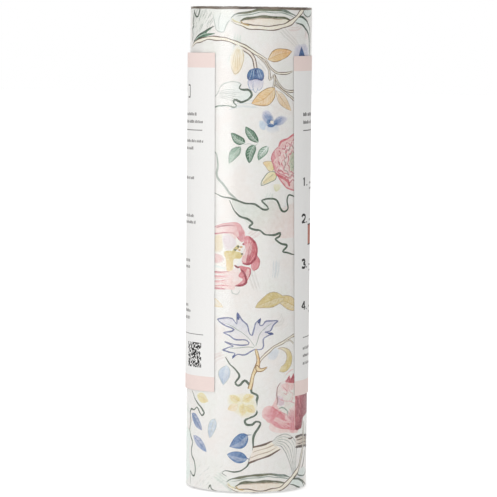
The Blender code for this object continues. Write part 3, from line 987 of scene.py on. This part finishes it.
def put_in_scene(name, data):
    """An object of that mesh, lamp or camera, at the origin."""
    made = bpy.data.objects.new(name, data)
    bpy.context.scene.collection.objects.link(made)
    return made


def spread(radius, across, up):
    """Flat points bent round the axis at that radius, in metres. The front is at across 0."""
    angle = across / ROLL_RADIUS
    return np.stack([radius * np.sin(angle), -radius * np.cos(angle), up], axis=-1) * MM


def sheet_mesh(name, art, columns, rows, outer, inner, finish):
    """A thin closed sheet, drawn on its outside. outer and inner bend flat points into place."""
    points, faces, colours = art.triangles(columns, rows)
    links = np.sort(np.vstack([faces[:, [0, 1]], faces[:, [1, 2]], faces[:, [2, 0]]]), axis=1)
    pairs, counts = np.unique(links, axis=0, return_counts=True)
    rim = {tuple(pair) for pair in pairs[counts == 1]}
    on_rim = sorted({i for pair in rim for i in pair})
    order = {i: k for k, i in enumerate(on_rim)}
    coarse = [Vector(points[i]) for i in on_rim]
    edges = [(order[a], order[b]) for a, b in rim]
    for x in columns[1:-1]:
        first = len(coarse)
        coarse += [Vector((x, y)) for y in rows[1:-1:4]]
        edges += [(i, i + 1) for i in range(first, len(coarse) - 1)]
    cut = geometry.delaunay_2d_cdt(coarse, edges, [], 0, 1e-5)
    back = np.array(cut[0])
    back_faces = np.array(cut[2])
    back_faces = back_faces[turned_faces(back, back_faces, -1)]
    origin = {}
    for new, olds in enumerate(cut[3]):
        for old in olds:
            origin[old] = new
    shift = len(points)
    walls = []
    for one, two, three in faces:
        for p, q in ((one, two), (two, three), (three, one)):
            if (min(p, q), max(p, q)) in rim:
                p_back, q_back = origin[order[p]] + shift, origin[order[q]] + shift
                walls += [(q, p, p_back), (q, p_back, q_back)]
    everything = np.vstack([faces, back_faces + shift, np.array(walls)])
    mesh = bpy.data.meshes.new(name)
    mesh.from_pydata(np.vstack([outer(points), inner(back)]).tolist(), [], everything.tolist())
    paint = mesh.color_attributes.new("print", "FLOAT_COLOR", "CORNER")
    values = np.ones((len(everything) * 3, 4))
    values[:, :3] = art.ground
    values[: len(faces) * 3, :3] = colours.reshape(-1, 3)
    paint.data.foreach_set("color", values.ravel().astype(np.float32))
    flat = mesh.uv_layers.new(name="flat")
    both = np.vstack([points, back])
    flat.data.foreach_set("uv", both[everything.ravel()].ravel().astype(np.float32))
    mesh.shade_smooth()
    mesh.set_sharp_from_angle(angle=math.radians(50))
    mesh.materials.append(finish)
    return put_in_scene(name, mesh)


def socket(group, name):
    """The identifier of a tree's input."""
    return next(item.identifier for item in group.interface.items_tree if item.name == name)


WOUND_SHEET = {
    "Start Radius": 0.0215,
    "End Radius": 0.0375,
    "Turns": 50.0,
    "Steps per Turn": 72,
    "Thickness": 0.00016,
    "Height": 0.2984,
    "Bottom": 0.0005,
    "Wander": 0.0004,
    "Seed": 1.0,
    "Start Angle": 0.0,
}
WAVES_PER_METRE = 260.0


def wound_tree(finish):
    """Geometry nodes for a thin sheet wound in a spiral, whose edges wander a little."""
    group = bpy.data.node_groups.new("wound_sheet", "GeometryNodeTree")
    for name, value in WOUND_SHEET.items():
        kind = "NodeSocketInt" if isinstance(value, int) else "NodeSocketFloat"
        group.interface.new_socket(name, in_out="INPUT", socket_type=kind).default_value = value
    group.interface.new_socket("Geometry", in_out="OUTPUT", socket_type="NodeSocketGeometry")
    given = group.nodes.new("NodeGroupInput").outputs

    def add(kind, inputs, **settings):
        """A node whose inputs are linked, or set where a plain value is given."""
        node = group.nodes.new(kind)
        for name, value in settings.items():
            setattr(node, name, value)
        for key, value in inputs.items():
            if isinstance(value, bpy.types.NodeSocket):
                group.links.new(value, node.inputs[key])
            else:
                node.inputs[key].default_value = value
        return node.outputs

    spiral = add(
        "GeometryNodeCurveSpiral",
        {
            "Height": 0.0,
            "Reverse": True,
            "Start Radius": given["Start Radius"],
            "End Radius": given["End Radius"],
            "Rotations": given["Turns"],
            "Resolution": given["Steps per Turn"],
        },
    )
    section = {"Width": given["Thickness"], "Height": given["Height"]}
    cut = add("GeometryNodeCurvePrimitiveQuadrilateral", section)
    sweep = {"Curve": spiral["Curve"], "Profile Curve": cut["Curve"], "Fill Caps": True}
    strip = add("GeometryNodeCurveToMesh", sweep)
    half = add("ShaderNodeMath", {0: given["Height"], 1: 0.5, 2: given["Bottom"]}, operation="MULTIPLY_ADD")
    lift = add("ShaderNodeCombineXYZ", {"Z": half[0]})
    turn = add("ShaderNodeCombineXYZ", {"Z": given["Start Angle"]})
    seat = {"Geometry": strip["Mesh"], "Translation": lift[0], "Rotation": turn[0]}
    placed = add("GeometryNodeTransform", seat)
    place = add("ShaderNodeSeparateXYZ", {0: add("GeometryNodeInputPosition", {})[0]})
    spot = add("ShaderNodeCombineXYZ", {"X": place["X"], "Y": place["Y"], "Z": given["Seed"]})
    waves = add("ShaderNodeTexNoise", {"Scale": WAVES_PER_METRE, "Detail": 2.0, "Vector": spot[0]})
    centred = add("ShaderNodeMath", {0: waves[0], 1: 0.5}, operation="SUBTRACT")
    scaled = add("ShaderNodeMath", {0: centred[0], 1: given["Wander"]}, operation="MULTIPLY")
    offset = add("ShaderNodeCombineXYZ", {"Z": scaled[0]})
    moved = add("GeometryNodeSetPosition", {"Geometry": placed["Geometry"], "Offset": offset[0]})
    real = add("GeometryNodeRealizeInstances", {"Geometry": moved["Geometry"]})
    coat = add("GeometryNodeSetMaterial", {"Geometry": real["Geometry"], "Material": finish})
    output = group.nodes.new("NodeGroupOutput")
    group.links.new(coat["Geometry"], output.inputs["Geometry"])
    return group


def wound(name, finish, end_radius, turns, thickness, top, steps, wander, seed):
    """A sheet wound outwards to that radius at the free end, as a plain mesh."""
    group = wound_tree(finish)
    blank = put_in_scene(name + "_maker", bpy.data.meshes.new(name + "_maker"))
    modifier = blank.modifiers.new("wind", "NODES")
    modifier.node_group = group
    for label, value in {
        "Start Radius": (end_radius - PITCH * turns) * MM,
        "End Radius": end_radius * MM,
        "Turns": float(turns),
        "Steps per Turn": steps,
        "Thickness": thickness * MM,
        "Height": (top - CLOTH_BOTTOM) * MM,
        "Bottom": CLOTH_BOTTOM * MM,
        "Wander": wander * MM,
        "Seed": seed,
        "Start Angle": FREE_END - math.pi / 2,
    }.items():
        modifier[socket(group, label)] = value
    mesh = bpy.data.meshes.new_from_object(blank.evaluated_get(bpy.context.evaluated_depsgraph_get()))
    bpy.data.objects.remove(blank)
    mesh.name = name
    return put_in_scene(name, mesh)


# Finishes


class Finish:
    """A material under construction, with short ways to add its nodes."""

    def __init__(self, name):
        self.material = bpy.data.materials.new(name)
        self.material.use_nodes = True
        self.nodes = self.material.node_tree.nodes
        self.links = self.material.node_tree.links
        self.shader = self.nodes["Principled BSDF"]
        self.coordinates = self.nodes.new("ShaderNodeTexCoord")

    def set(self, **values):
        """Sets the shader's own inputs."""
        for name, value in values.items():
            self.shader.inputs[name.replace("_", " ")].default_value = value

    def add(self, kind, **settings):
        """A shader node with these settings or input values."""
        node = self.nodes.new("ShaderNode" + kind)
        for name, value in settings.items():
            if hasattr(node, name):
                setattr(node, name, value)
            else:
                node.inputs[name.replace("_", " ")].default_value = value
        return node

    def link(self, source, target):
        """Joins an output to an input."""
        self.links.new(source, target)

    def mapped(self, stretch=(1, 1, 1), output="Object"):
        """Stretched coordinates."""
        node = self.add("Mapping")
        node.inputs["Scale"].default_value = stretch
        self.link(self.coordinates.outputs[output], node.inputs["Vector"])
        return node.outputs["Vector"]

    def noise(self, scale, vector, detail=3.0, roughness=0.5):
        """Soft noise from 0 to 1."""
        node = self.add("TexNoise", Scale=scale, Detail=detail, Roughness=roughness)
        self.link(vector, node.inputs["Vector"])
        return node.outputs["Fac"]

    def ramp(self, source, stops):
        """A colour that changes with the source."""
        node = self.add("ValToRGB")
        while len(node.color_ramp.elements) < len(stops):
            node.color_ramp.elements.new(0.5)
        for element, (position, colour) in zip(node.color_ramp.elements, stops):
            element.position = position
            element.color = (*colour, 1.0)
        self.link(source, node.inputs["Fac"])
        return node.outputs["Color"]

    def mix(self, share, first, second, blend):
        """Two colours mixed by that share."""
        node = self.add("Mix", data_type="RGBA", blend_type=blend)
        sockets = [s for s in node.inputs if s.type == "RGBA"]
        next(s for s in node.inputs if s.type == "VALUE").default_value = share
        for source, target in zip((first, second), sockets):
            self.link(source, target)
        return next(s for s in node.outputs if s.type == "RGBA")

    def bump(self, height, distance, strength=1.0):
        """Small relief from a height."""
        node = self.add("Bump", Distance=distance, Strength=strength)
        self.link(height, node.inputs["Height"])
        return node.outputs["Normal"]


POOLING = 1.7


def printed_cloth():
    """Smooth woven cotton with a soft print."""
    made = Finish("printed_cloth")
    made.set(Roughness=0.72, Sheen_Weight=0.12, Sheen_Roughness=0.4)
    made.shader.inputs["Specular IOR Level"].default_value = 0.25
    paint = made.add("Attribute", attribute_name="print")
    flat = made.mapped((1, 1, 1), "UV")
    wash = made.noise(0.045, flat, 3.0, 0.6)
    pale = made.ramp(wash, [(0.36, (1.0, 0.972, 0.962)), (0.5, (1, 1, 1)), (0.66, (0.972, 0.992, 0.972))])
    pooling = made.add("Math", operation="MULTIPLY_ADD")
    pooling.inputs[1].default_value = POOLING
    pooling.inputs[2].default_value = 1.0 - POOLING / 2
    made.link(made.noise(0.42, flat, 4.0, 0.62), pooling.inputs[0])
    pigment = made.add("Gamma")
    made.link(paint.outputs["Color"], pigment.inputs["Color"])
    made.link(pooling.outputs[0], pigment.inputs["Gamma"])
    colour = made.mix(1.0, pigment.outputs["Color"], pale, "MULTIPLY")
    grain = made.noise(1.4, flat, 2.0)
    mottled = made.ramp(grain, [(0.3, (0.83, 0.83, 0.83)), (0.7, (0.865, 0.865, 0.865))])
    colour = made.mix(1.0, colour, mottled, "MULTIPLY")
    made.link(colour, made.shader.inputs["Base Color"])
    warp = made.add("TexWave", bands_direction="X", Scale=0.35, Distortion=0.6, Detail=1.0)
    weft = made.add("TexWave", bands_direction="Y", Scale=0.35, Distortion=0.6, Detail=1.0)
    for threads in (warp, weft):
        made.link(flat, threads.inputs["Vector"])
    weave = made.add("Math", operation="MULTIPLY")
    made.link(warp.outputs["Fac"], weave.inputs[0])
    made.link(weft.outputs["Fac"], weave.inputs[1])
    made.link(made.bump(weave.outputs[0], 0.00003, 0.5), made.shader.inputs["Normal"])
    return made.material


def paper(name, dark, light, fibre, roughness, attribute=None):
    """Paper or board: fine fibres, slightly uneven in tone."""
    made = Finish(name)
    made.set(Roughness=roughness)
    made.shader.inputs["Specular IOR Level"].default_value = 0.3
    base = made.mapped()
    flecks = made.noise(fibre, base, 4.0, 0.65)
    tone = made.ramp(flecks, [(0.3, dark), (0.7, light)])
    if attribute:
        paint = made.add("Attribute", attribute_name=attribute)
        tone = made.mix(1.0, paint.outputs["Color"], tone, "MULTIPLY")
    made.link(tone, made.shader.inputs["Base Color"])
    made.link(made.bump(flecks, 0.00004, 0.4), made.shader.inputs["Normal"])
    return made.material


FACE_GLOSS = 0.028
RIM_GLOSS = 0.12
RIM_SHARPNESS = 4.0


def clear_plastic(name, colour, roughness, clear, crinkle, bump):
    """See-through plastic: mostly clear, with gloss that grows towards its edges."""
    made = Finish(name)
    gloss = made.add("BsdfGlossy", Color=(*colour, 1.0), Roughness=roughness)
    through = made.add("BsdfTransparent", Color=(*clear, 1.0))
    facing = made.add("LayerWeight", Blend=0.5)
    steep = made.add("Math", operation="POWER")
    steep.inputs[1].default_value = RIM_SHARPNESS
    rim = made.add("Math", operation="MULTIPLY_ADD")
    rim.inputs[1].default_value = RIM_GLOSS
    rim.inputs[2].default_value = FACE_GLOSS
    both = made.add("MixShader")
    stretched = made.mapped((1.0, 1.0, 0.35))
    folds = made.noise(crinkle, stretched, 4.0, 0.55)
    normal = made.bump(folds, bump, 1.0)
    made.link(normal, gloss.inputs["Normal"])
    made.link(facing.outputs["Facing"], steep.inputs[0])
    made.link(steep.outputs[0], rim.inputs[0])
    made.link(rim.outputs[0], both.inputs["Fac"])
    made.link(through.outputs[0], both.inputs[1])
    made.link(gloss.outputs[0], both.inputs[2])
    made.nodes.remove(made.shader)
    made.link(both.outputs[0], made.nodes["Material Output"].inputs["Surface"])
    return made.material


# The pieces


def make_cloth(finish):
    """The printed sheet: its inner turns, and the outer turn that carries the drawing."""
    start_angle = FREE_END - TURN
    left, right = start_angle * ROLL_RADIUS, FREE_END * ROLL_RADIUS
    art = draw_cloth(left, right)
    columns = np.linspace(left, right, 77)
    rows = np.linspace(CLOTH_BOTTOM, CLOTH_TOP, 41)

    def radius_at(across):
        """The spiral's radius, which grows by one layer in a turn."""
        return CLOTH_END_RADIUS - PITCH * (right - across) / (right - left)

    def wander(points):
        """The heights of the points, with an upper edge that isn't quite straight."""
        across, up = points[:, 0], points[:, 1]
        wave = 0.18 * np.sin(across * 0.13 + 0.6) + 0.1 * np.sin(across * 0.37)
        return up + wave * np.clip((up - 290) / 9, 0, 1)

    def outer(points):
        return spread(radius_at(points[:, 0]), points[:, 0], wander(points))

    def inner(points):
        return spread(radius_at(points[:, 0]) - CLOTH, points[:, 0], wander(points))

    outside = sheet_mesh("printed_fabric", art, columns, rows, outer, inner, finish)
    under = CLOTH_END_RADIUS - CLOTH / 2 - PITCH
    inside = wound("inner_turns", finish, under, INNER_TURNS, CLOTH, CLOTH_TOP, 56, 0.9, 1.0)
    join_meshes(outside, inside)
    return outside


def join_meshes(kept, added):
    """Puts the added mesh into the kept object, with the plain ground as its print."""
    mesh = added.data
    paint = mesh.color_attributes.new("print", "FLOAT_COLOR", "CORNER")
    values = np.ones((len(mesh.loops), 4), np.float32)
    values[:, :3] = GROUND
    paint.data.foreach_set("color", values.ravel())
    mesh.uv_layers.new(name="flat")
    for item in bpy.context.view_layer.objects:
        item.select_set(False)
    added.select_set(True)
    kept.select_set(True)
    bpy.context.view_layer.objects.active = kept
    bpy.ops.object.join()


def make_liner(finish):
    """The release paper, wound in with the cloth, one layer inside it."""
    end = CLOTH_END_RADIUS - CLOTH - LINER / 2 - LINER_SLACK
    return wound("release_liner", finish, end, INNER_TURNS + 1, LINER, LINER_TOP, 96, 1.8, 4.0)


def grid_shell(name, outer, inner, closed_round, finish):
    """A thin shell from two grids of points, [along][round], joined at their open edges."""
    along, around = outer.shape[:2]
    points = np.vstack([outer.reshape(-1, 3), inner.reshape(-1, 3)]) * MM
    faces = []
    shift = along * around
    last = around if closed_round else around - 1
    for i in range(along - 1):
        for j in range(last):
            k = (j + 1) % around
            a, b, c, d = i * around + j, i * around + k, (i + 1) * around + k, (i + 1) * around + j
            faces += [(a, b, c, d), (d + shift, c + shift, b + shift, a + shift)]
    for j in range(last):
        k = (j + 1) % around
        faces.append((k, j, j + shift, k + shift))
        top = (along - 1) * around
        faces.append((top + j, top + k, top + k + shift, top + j + shift))
    for i in range(0 if closed_round else along - 1):
        a, b = i * around, (i + 1) * around
        faces.append((a, b, b + shift, a + shift))
        c, d = a + around - 1, b + around - 1
        faces.append((d, c, c + shift, d + shift))
    mesh = bpy.data.meshes.new(name)
    mesh.from_pydata(points.tolist(), [], faces)
    mesh.shade_smooth()
    mesh.materials.append(finish)
    return put_in_scene(name, mesh)


FILM_BEND = 0.9
FILM_LIP = 9.0
FILM_AROUND = 240
FILM_UP = 72
FILM_CRINKLE = 0.035
PUCKERS = 44


def make_film(finish):
    """The shrunk sleeve: tight round the side, drawn in over both ends in small puckers."""
    angles = np.linspace(0, TURN, FILM_AROUND, endpoint=False)
    hole = ROLL_RADIUS - FILM_LIP
    side = np.linspace(FILM_BEND, LENGTH - FILM_BEND, FILM_UP)
    corner = FILM_RADIUS - FILM_BEND
    bend = np.radians([15, 38, 62, 84])
    lips = np.array([36.6, 35, 33.4, 31.6, 30.2, hole])
    stations = [(r, 0.0, "low") for r in lips[::-1]]
    stations += [(corner + FILM_BEND * math.sin(b), FILM_BEND * (1 - math.cos(b)), "bend") for b in bend]
    stations += [(FILM_RADIUS, z, "side") for z in side]
    top = LENGTH - FILM_BEND
    stations += [(corner + FILM_BEND * math.cos(b), top + FILM_BEND * math.sin(b), "bend") for b in bend]
    stations += [(r, LENGTH, "high") for r in lips]
    shells = []
    for depth in (0.0, FILM):
        rings = []
        for radius, up, part in stations:
            ring_points = []
            for angle in angles:
                fold = noise.noise(Vector((9 * math.cos(angle), 9 * math.sin(angle), up * 0.006 + 3)))
                r, z = radius - depth, up
                if part == "side":
                    r += FILM_CRINKLE * fold
                elif part in ("low", "high"):
                    share = (FILM_RADIUS - radius) / (FILM_RADIUS - hole)
                    pucker = math.sin(PUCKERS * angle + 5 * fold) * 0.35 + 0.5 * fold
                    sign = 1 if part == "high" else -1
                    r = radius + 1.2 * share * fold
                    z = up - sign * (depth + share * (0.25 + 0.35 * pucker) * 0.8)
                else:
                    z += depth if up < 5 else -depth
                ring_points.append((r * math.sin(angle), -r * math.cos(angle), z))
            rings.append(ring_points)
        shells.append(np.array(rings))
    return grid_shell("clear_sleeve", shells[0], shells[1], True, finish)


def make_tape(node, finish):
    """A short clear strip across the free end, half on the tail and half on the turn below."""
    low, high = (corner.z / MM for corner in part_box(node))
    middle = FREE_END * ROLL_RADIUS
    across = middle + np.array([-17, -12, -8, -4, -1, 0.2, 1.2, 2.4, 4, 8, 12, 17])
    step = np.clip((across - middle - 0.2) / 2.2, 0, 1)
    radius = TAPE_RADIUS - PITCH * step * step * (3 - 2 * step)
    shells = []
    for depth in (0.0, TAPE):
        rows = [spread(radius - depth, across, np.full(len(across), up)) / MM for up in (low, high)]
        shells.append(np.array(rows))
    return grid_shell(node.replace("end_tape", "clear_tape"), shells[0], shells[1], False, finish)


# Label

PAPER = tint(243, 242, 240)
STRIP = tint(242, 223, 217)
TYPE = tint(112, 110, 108)
BOLD = tint(48, 46, 46)
LABEL_HEIGHT = 210.0
STRIP_HEIGHT = 9.2
RIGHT_EDGE = (math.radians(50.9), math.radians(43.8))
LEFT_EDGE = (math.radians(328.2), math.radians(325.0))
RIGHT_HEIGHTS = (59.1, 269.8)
LEFT_HEIGHTS = (62.2, 271.4)
LABEL_WIDTH = 187.4


def words(art, left, up, width, height, colour, seed):
    """A line of type, as plain marks of different widths."""
    draw = random.Random(seed)
    x = left
    while x < left + width:
        reach = min(0.5 + 0.5 * draw.random(), left + width - x)
        tall = height * (0.62 + 0.38 * draw.random())
        art.shape([(x, up), (x + reach, up), (x + reach, up + tall), (x, up + tall)], colour)
        x += reach + (0.35 if draw.random() < 0.8 else 0.9)


def rule(art, left, right, up, colour, width):
    """A straight level line."""
    art.shape([(left, up), (right, up), (right, up + width), (left, up + width)], colour)


def figure(art, number, left, up, high=5.2, wide=5.0, width=1.5):
    """A plain numeral from 1 to 4, with its full stop."""
    strokes = {
        1: [[(0.35, 0.8), (0.6, 1), (0.6, 0)]],
        2: [[(0, 0.76), (0.3, 1), (0.9, 0.86), (0.8, 0.5), (0, 0.05)], [(0, 0.06), (1, 0.06)]],
        3: [
            [(0, 0.92), (0.6, 1), (0.9, 0.76), (0.4, 0.54)],
            [(0.4, 0.54), (1, 0.32), (0.7, 0.04), (0, 0.1)],
        ],
        4: [[(0.72, 0), (0.72, 1)], [(0.72, 1), (0, 0.32)], [(0, 0.3), (1.1, 0.3)]],
    }[number]
    for path in strokes:
        points = [(left + x * wide, up + y * high) for x, y in path]
        level = abs(points[-1][1] - points[0][1]) < 1.0
        art.line(points, 0.8 if level else width, BOLD, (1, 1), soft=len(path) > 3)
    art.shape(ellipse((left + wide + 2.0, up + 0.4), (0.9, 0.5)), BOLD)


def draw_label():
    """Both ends of the label: across 0 is the end at the right of the window, and LABEL_WIDTH the other."""
    art = Drawing(0, LABEL_WIDTH, 0, LABEL_HEIGHT, PAPER)
    for up in (0, LABEL_HEIGHT - STRIP_HEIGHT):
        art.shape(
            [
                (-1, up), (LABEL_WIDTH + 1, up), (LABEL_WIDTH + 1, up + STRIP_HEIGHT),
                (-1, up + STRIP_HEIGHT)
            ],
            STRIP
        )
    for row, (up, reach) in enumerate(((173.0, 15), (168.2, 15))):
        words(art, 9.6, up, reach, 2.4, BOLD, 20 + row)
    rule(art, 9.6, 60, 163.9, BOLD, 0.5)
    for number, up in ((1, 129.9), (2, 106.9), (3, 78.9), (4, 52.9)):
        figure(art, number, 8.2, up)
        for row in range(2):
            words(art, 20, up + 1.0 - row * 3.4, 34, 1.4, TYPE, number * 7 + row)
    picture = (17.4, 93.2, 44, 105.6)
    art.shape(
        [picture[:2], (picture[2], picture[1]), picture[2:], (picture[0], picture[3])],
        tint(186, 122, 106)
    )
    rule(art, picture[0] - 0.2, picture[2], picture[1] - 0.4, BOLD, 0.8)
    rule(art, picture[0] - 0.2, picture[2], picture[3] - 0.4, BOLD, 0.8)
    rule(art, 9.8, 60, 35.4, TYPE, 0.5)
    for row, up in enumerate((28.0, 23.4, 18.6)):
        words(art, 9.8, up, 40, 2.0, TYPE * 0.7, 30 + row)
    art.line(
        [
            (LABEL_WIDTH - 28.2, 189.8), (LABEL_WIDTH - 24.6, 189.8), (LABEL_WIDTH - 24.6, 182.4),
            (LABEL_WIDTH - 28.2, 182.4)
        ],
        1.1, BOLD, (1, 1), soft=False
    )
    for row, (up, end, reach) in enumerate(
        (
            (171.0, 16, 40), (166.4, 10, 40), (154.4, 9.4, 42), (149.8, 20, 34), (131.4, 19, 34),
            (107.8, 19, 34)
        )
        + ((103.8, 17, 36), (79.8, 24, 30), (75.8, 24, 30), (51.8, 27, 28), (48.4, 23, 30), (44.0, 24, 30))
    ):
        words(art, LABEL_WIDTH - end - reach, up, reach, 2.0, TYPE, 40 + row)
    rule(art, LABEL_WIDTH - 60, LABEL_WIDTH - 10.4, 161.8, TYPE, 0.5)
    rule(art, LABEL_WIDTH - 60, LABEL_WIDTH - 9, 34.8, TYPE, 0.4)
    draw = random.Random(12)
    cell = 0.74
    for row in range(21):
        for column in range(21):
            if draw.random() < 0.56:
                x, y = LABEL_WIDTH - 26.4 + column * cell, 14.4 + row * cell
                art.shape([(x, y), (x + cell, y), (x + cell, y + cell), (x, y + cell)], BOLD * 0.8)
    return art


def make_label(finish):
    """The paper band, a little loose and askew, open in front."""
    art = draw_label()
    columns = np.linspace(0, LABEL_WIDTH, 91)
    rows = np.linspace(0, LABEL_HEIGHT, 43)

    def place(points, depth):
        share, height = points[:, 0] / LABEL_WIDTH, points[:, 1] / LABEL_HEIGHT

        def between(pair, t):
            return pair[0] + (pair[1] - pair[0]) * t

        angle = between(RIGHT_EDGE, height) * (1 - share) + between(LEFT_EDGE, height) * share
        up = between(RIGHT_HEIGHTS, height) * (1 - share) + between(LEFT_HEIGHTS, height) * share
        slack_left = between((0.55, 1.15), height) * np.clip(-np.sin(angle), 0, 1)
        slack_right = between((0.35, 0.02), height) * np.clip(np.sin(angle), 0, 1)
        from_end = np.minimum(points[:, 0], LABEL_WIDTH - points[:, 0]) / 24
        ease = np.clip(from_end, 0, 1) ** 1.5
        radius = LABEL_RADIUS + depth + (slack_left + slack_right) * ease
        return np.stack([radius * np.sin(angle), -radius * np.cos(angle), up], axis=-1) * MM

    return sheet_mesh(
        "paper_label",
        art,
        columns,
        rows,
        lambda points: place(points, LABEL),
        lambda points: place(points, 0.0),
        finish,
    )


# Camera and light


CAMERA_PLACE = (0, -1.844, 0.284)
CAMERA_PITCH = 0.0731
CAMERA_ROLL = 0.01154
CAMERA_LENS = 213.7


def make_camera():
    """A long lens a little above the roll's upper end, turned slightly about its own axis."""
    pitch, roll = CAMERA_PITCH, CAMERA_ROLL
    forward = Vector((0, math.cos(pitch), -math.sin(pitch)))
    right = Vector((1, 0, 0))
    up = right.cross(forward)
    x_axis = right * math.cos(roll) + up * math.sin(roll)
    y_axis = up * math.cos(roll) - right * math.sin(roll)
    turn = Matrix((x_axis, y_axis, -forward)).transposed()
    data = bpy.data.cameras.new("camera")
    data.lens = CAMERA_LENS
    data.clip_start, data.clip_end = 0.05, 50
    camera = put_in_scene("camera", data)
    camera.matrix_world = Matrix.Translation(CAMERA_PLACE) @ turn.to_4x4()
    bpy.context.scene.camera = camera


def area_light(name, azimuth, height, size, power):
    """A soft rectangular lamp that looks at the middle of the roll."""
    data = bpy.data.lights.new(name, "AREA")
    data.shape = "RECTANGLE"
    data.size, data.size_y = size
    data.energy = power
    lamp = put_in_scene(name, data)
    a = math.radians(azimuth)
    lamp.location = (LAMP_DISTANCE * math.sin(a), -LAMP_DISTANCE * math.cos(a), height)
    target = Vector((0, 0, LENGTH * MM / 2))
    lamp.rotation_euler = (target - lamp.location).to_track_quat("-Z", "Y").to_euler()
    return lamp


def flag(name, azimuth, size):
    """A dark card out of sight that holds back the light from one side."""
    half, height = size[0] / 2, size[1]
    mesh = bpy.data.meshes.new(name)
    corners = [(-half, 0, -height / 2), (half, 0, -height / 2), (half, 0, height / 2), (-half, 0, height / 2)]
    a = math.radians(azimuth)
    spot = (FLAG_DISTANCE * math.sin(a), -FLAG_DISTANCE * math.cos(a), LENGTH * MM / 2)
    place = Matrix.Translation(spot) @ Matrix.Rotation(a, 4, "Z")
    mesh.from_pydata([tuple(place @ Vector(c)) for c in corners], [], [(0, 1, 2, 3)])
    surface = Finish(name)
    surface.set(Base_Color=(0.35, 0.35, 0.35, 1), Roughness=1.0)
    mesh.materials.append(surface.material)
    card = put_in_scene(name, mesh)
    card.visible_camera = False


FLOOR_REACH = 12.0
FLOOR_BELOW = 0.0004
FLOOR_GREY = (0.6, 0.6, 0.6, 1)
FLOOR_GLOW = 0.55
LAMP_DISTANCE = 1.3
FLAG_DISTANCE = 0.9


def make_studio():
    """A pale floor and a wide soft light from the left front."""
    scene = bpy.context.scene
    scene.view_settings.view_transform = "Standard"
    world = bpy.data.worlds.new("studio")
    world.use_nodes = True
    world.node_tree.nodes["Background"].inputs["Color"].default_value = (1, 1, 1, 1)
    world.node_tree.nodes["Background"].inputs["Strength"].default_value = 1.0
    scene.world = world
    mesh = bpy.data.meshes.new("floor")
    far = FLOOR_REACH
    mesh.from_pydata([(-far, -far, 0), (far, -far, 0), (far, far, 0), (-far, far, 0)], [], [(0, 1, 2, 3)])
    floor = put_in_scene("floor", mesh)
    floor.location.z = -FLOOR_BELOW
    surface = Finish("floor_paint")
    surface.set(Base_Color=FLOOR_GREY, Roughness=0.9)
    surface.shader.inputs["Emission Color"].default_value = (1, 1, 1, 1)
    surface.shader.inputs["Emission Strength"].default_value = FLOOR_GLOW
    mesh.materials.append(surface.material)
    area_light("key", -48, 0.17, (1.16, 1.8), 4.3)
    shine = area_light("shine", -46, 0.14, (0.62, 2.2), 7.6)
    shine.visible_diffuse = False
    flag("right_flag", 84, (1.7, 1.6))
    flag("left_flag", -122, (0.7, 1.6))


make_camera()
make_studio()

cloth_finish = printed_cloth()
liner_finish = paper("kraft_liner", tint(78, 62, 52), tint(142, 126, 110), 90, 0.7)
board_finish = paper("core_board", tint(140, 108, 78), tint(172, 138, 104), 500, 0.85)
label_finish = paper("label_paper", (0.82, 0.82, 0.82), (0.86, 0.86, 0.86), 1200, 0.75, "print")
film_finish = clear_plastic("clear_film", (1, 1, 1), 0.22, (0.99, 0.992, 0.99), 90, 0.0002)
tape_finish = clear_plastic("clear_tape", (1, 0.99, 0.96), 0.3, (0.975, 0.97, 0.94), 40, 0.0002)

cloth = make_cloth(cloth_finish)
liner = make_liner(liner_finish)
film = make_film(film_finish)
label = make_label(label_finish)

for node in ("core_inner_ply", "core_middle_ply", "core_outer_ply"):
    frame["nodes"][node].material_slots[0].material = board_finish
frame["nodes"]["core_start_tape"].material_slots[0].material = tape_finish
end_tapes = ("end_tape_bottom", "end_tape_middle", "end_tape_top")

for piece, body, slot, nodes in (
    (cloth, "roll", "fabric", ("fabric_windings", "fabric_last_turn")),
    (liner, "roll", "liner", ("release_liner_last_turn",)),
    (film, "wrapping", "film", ("clear_film",)),
    (label, "label", "label", ("label_band",)),
    *((make_tape(node, tape_finish), "roll", "tape", (node,)) for node in end_tapes),
):
    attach(piece, body)
    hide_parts(*nodes)
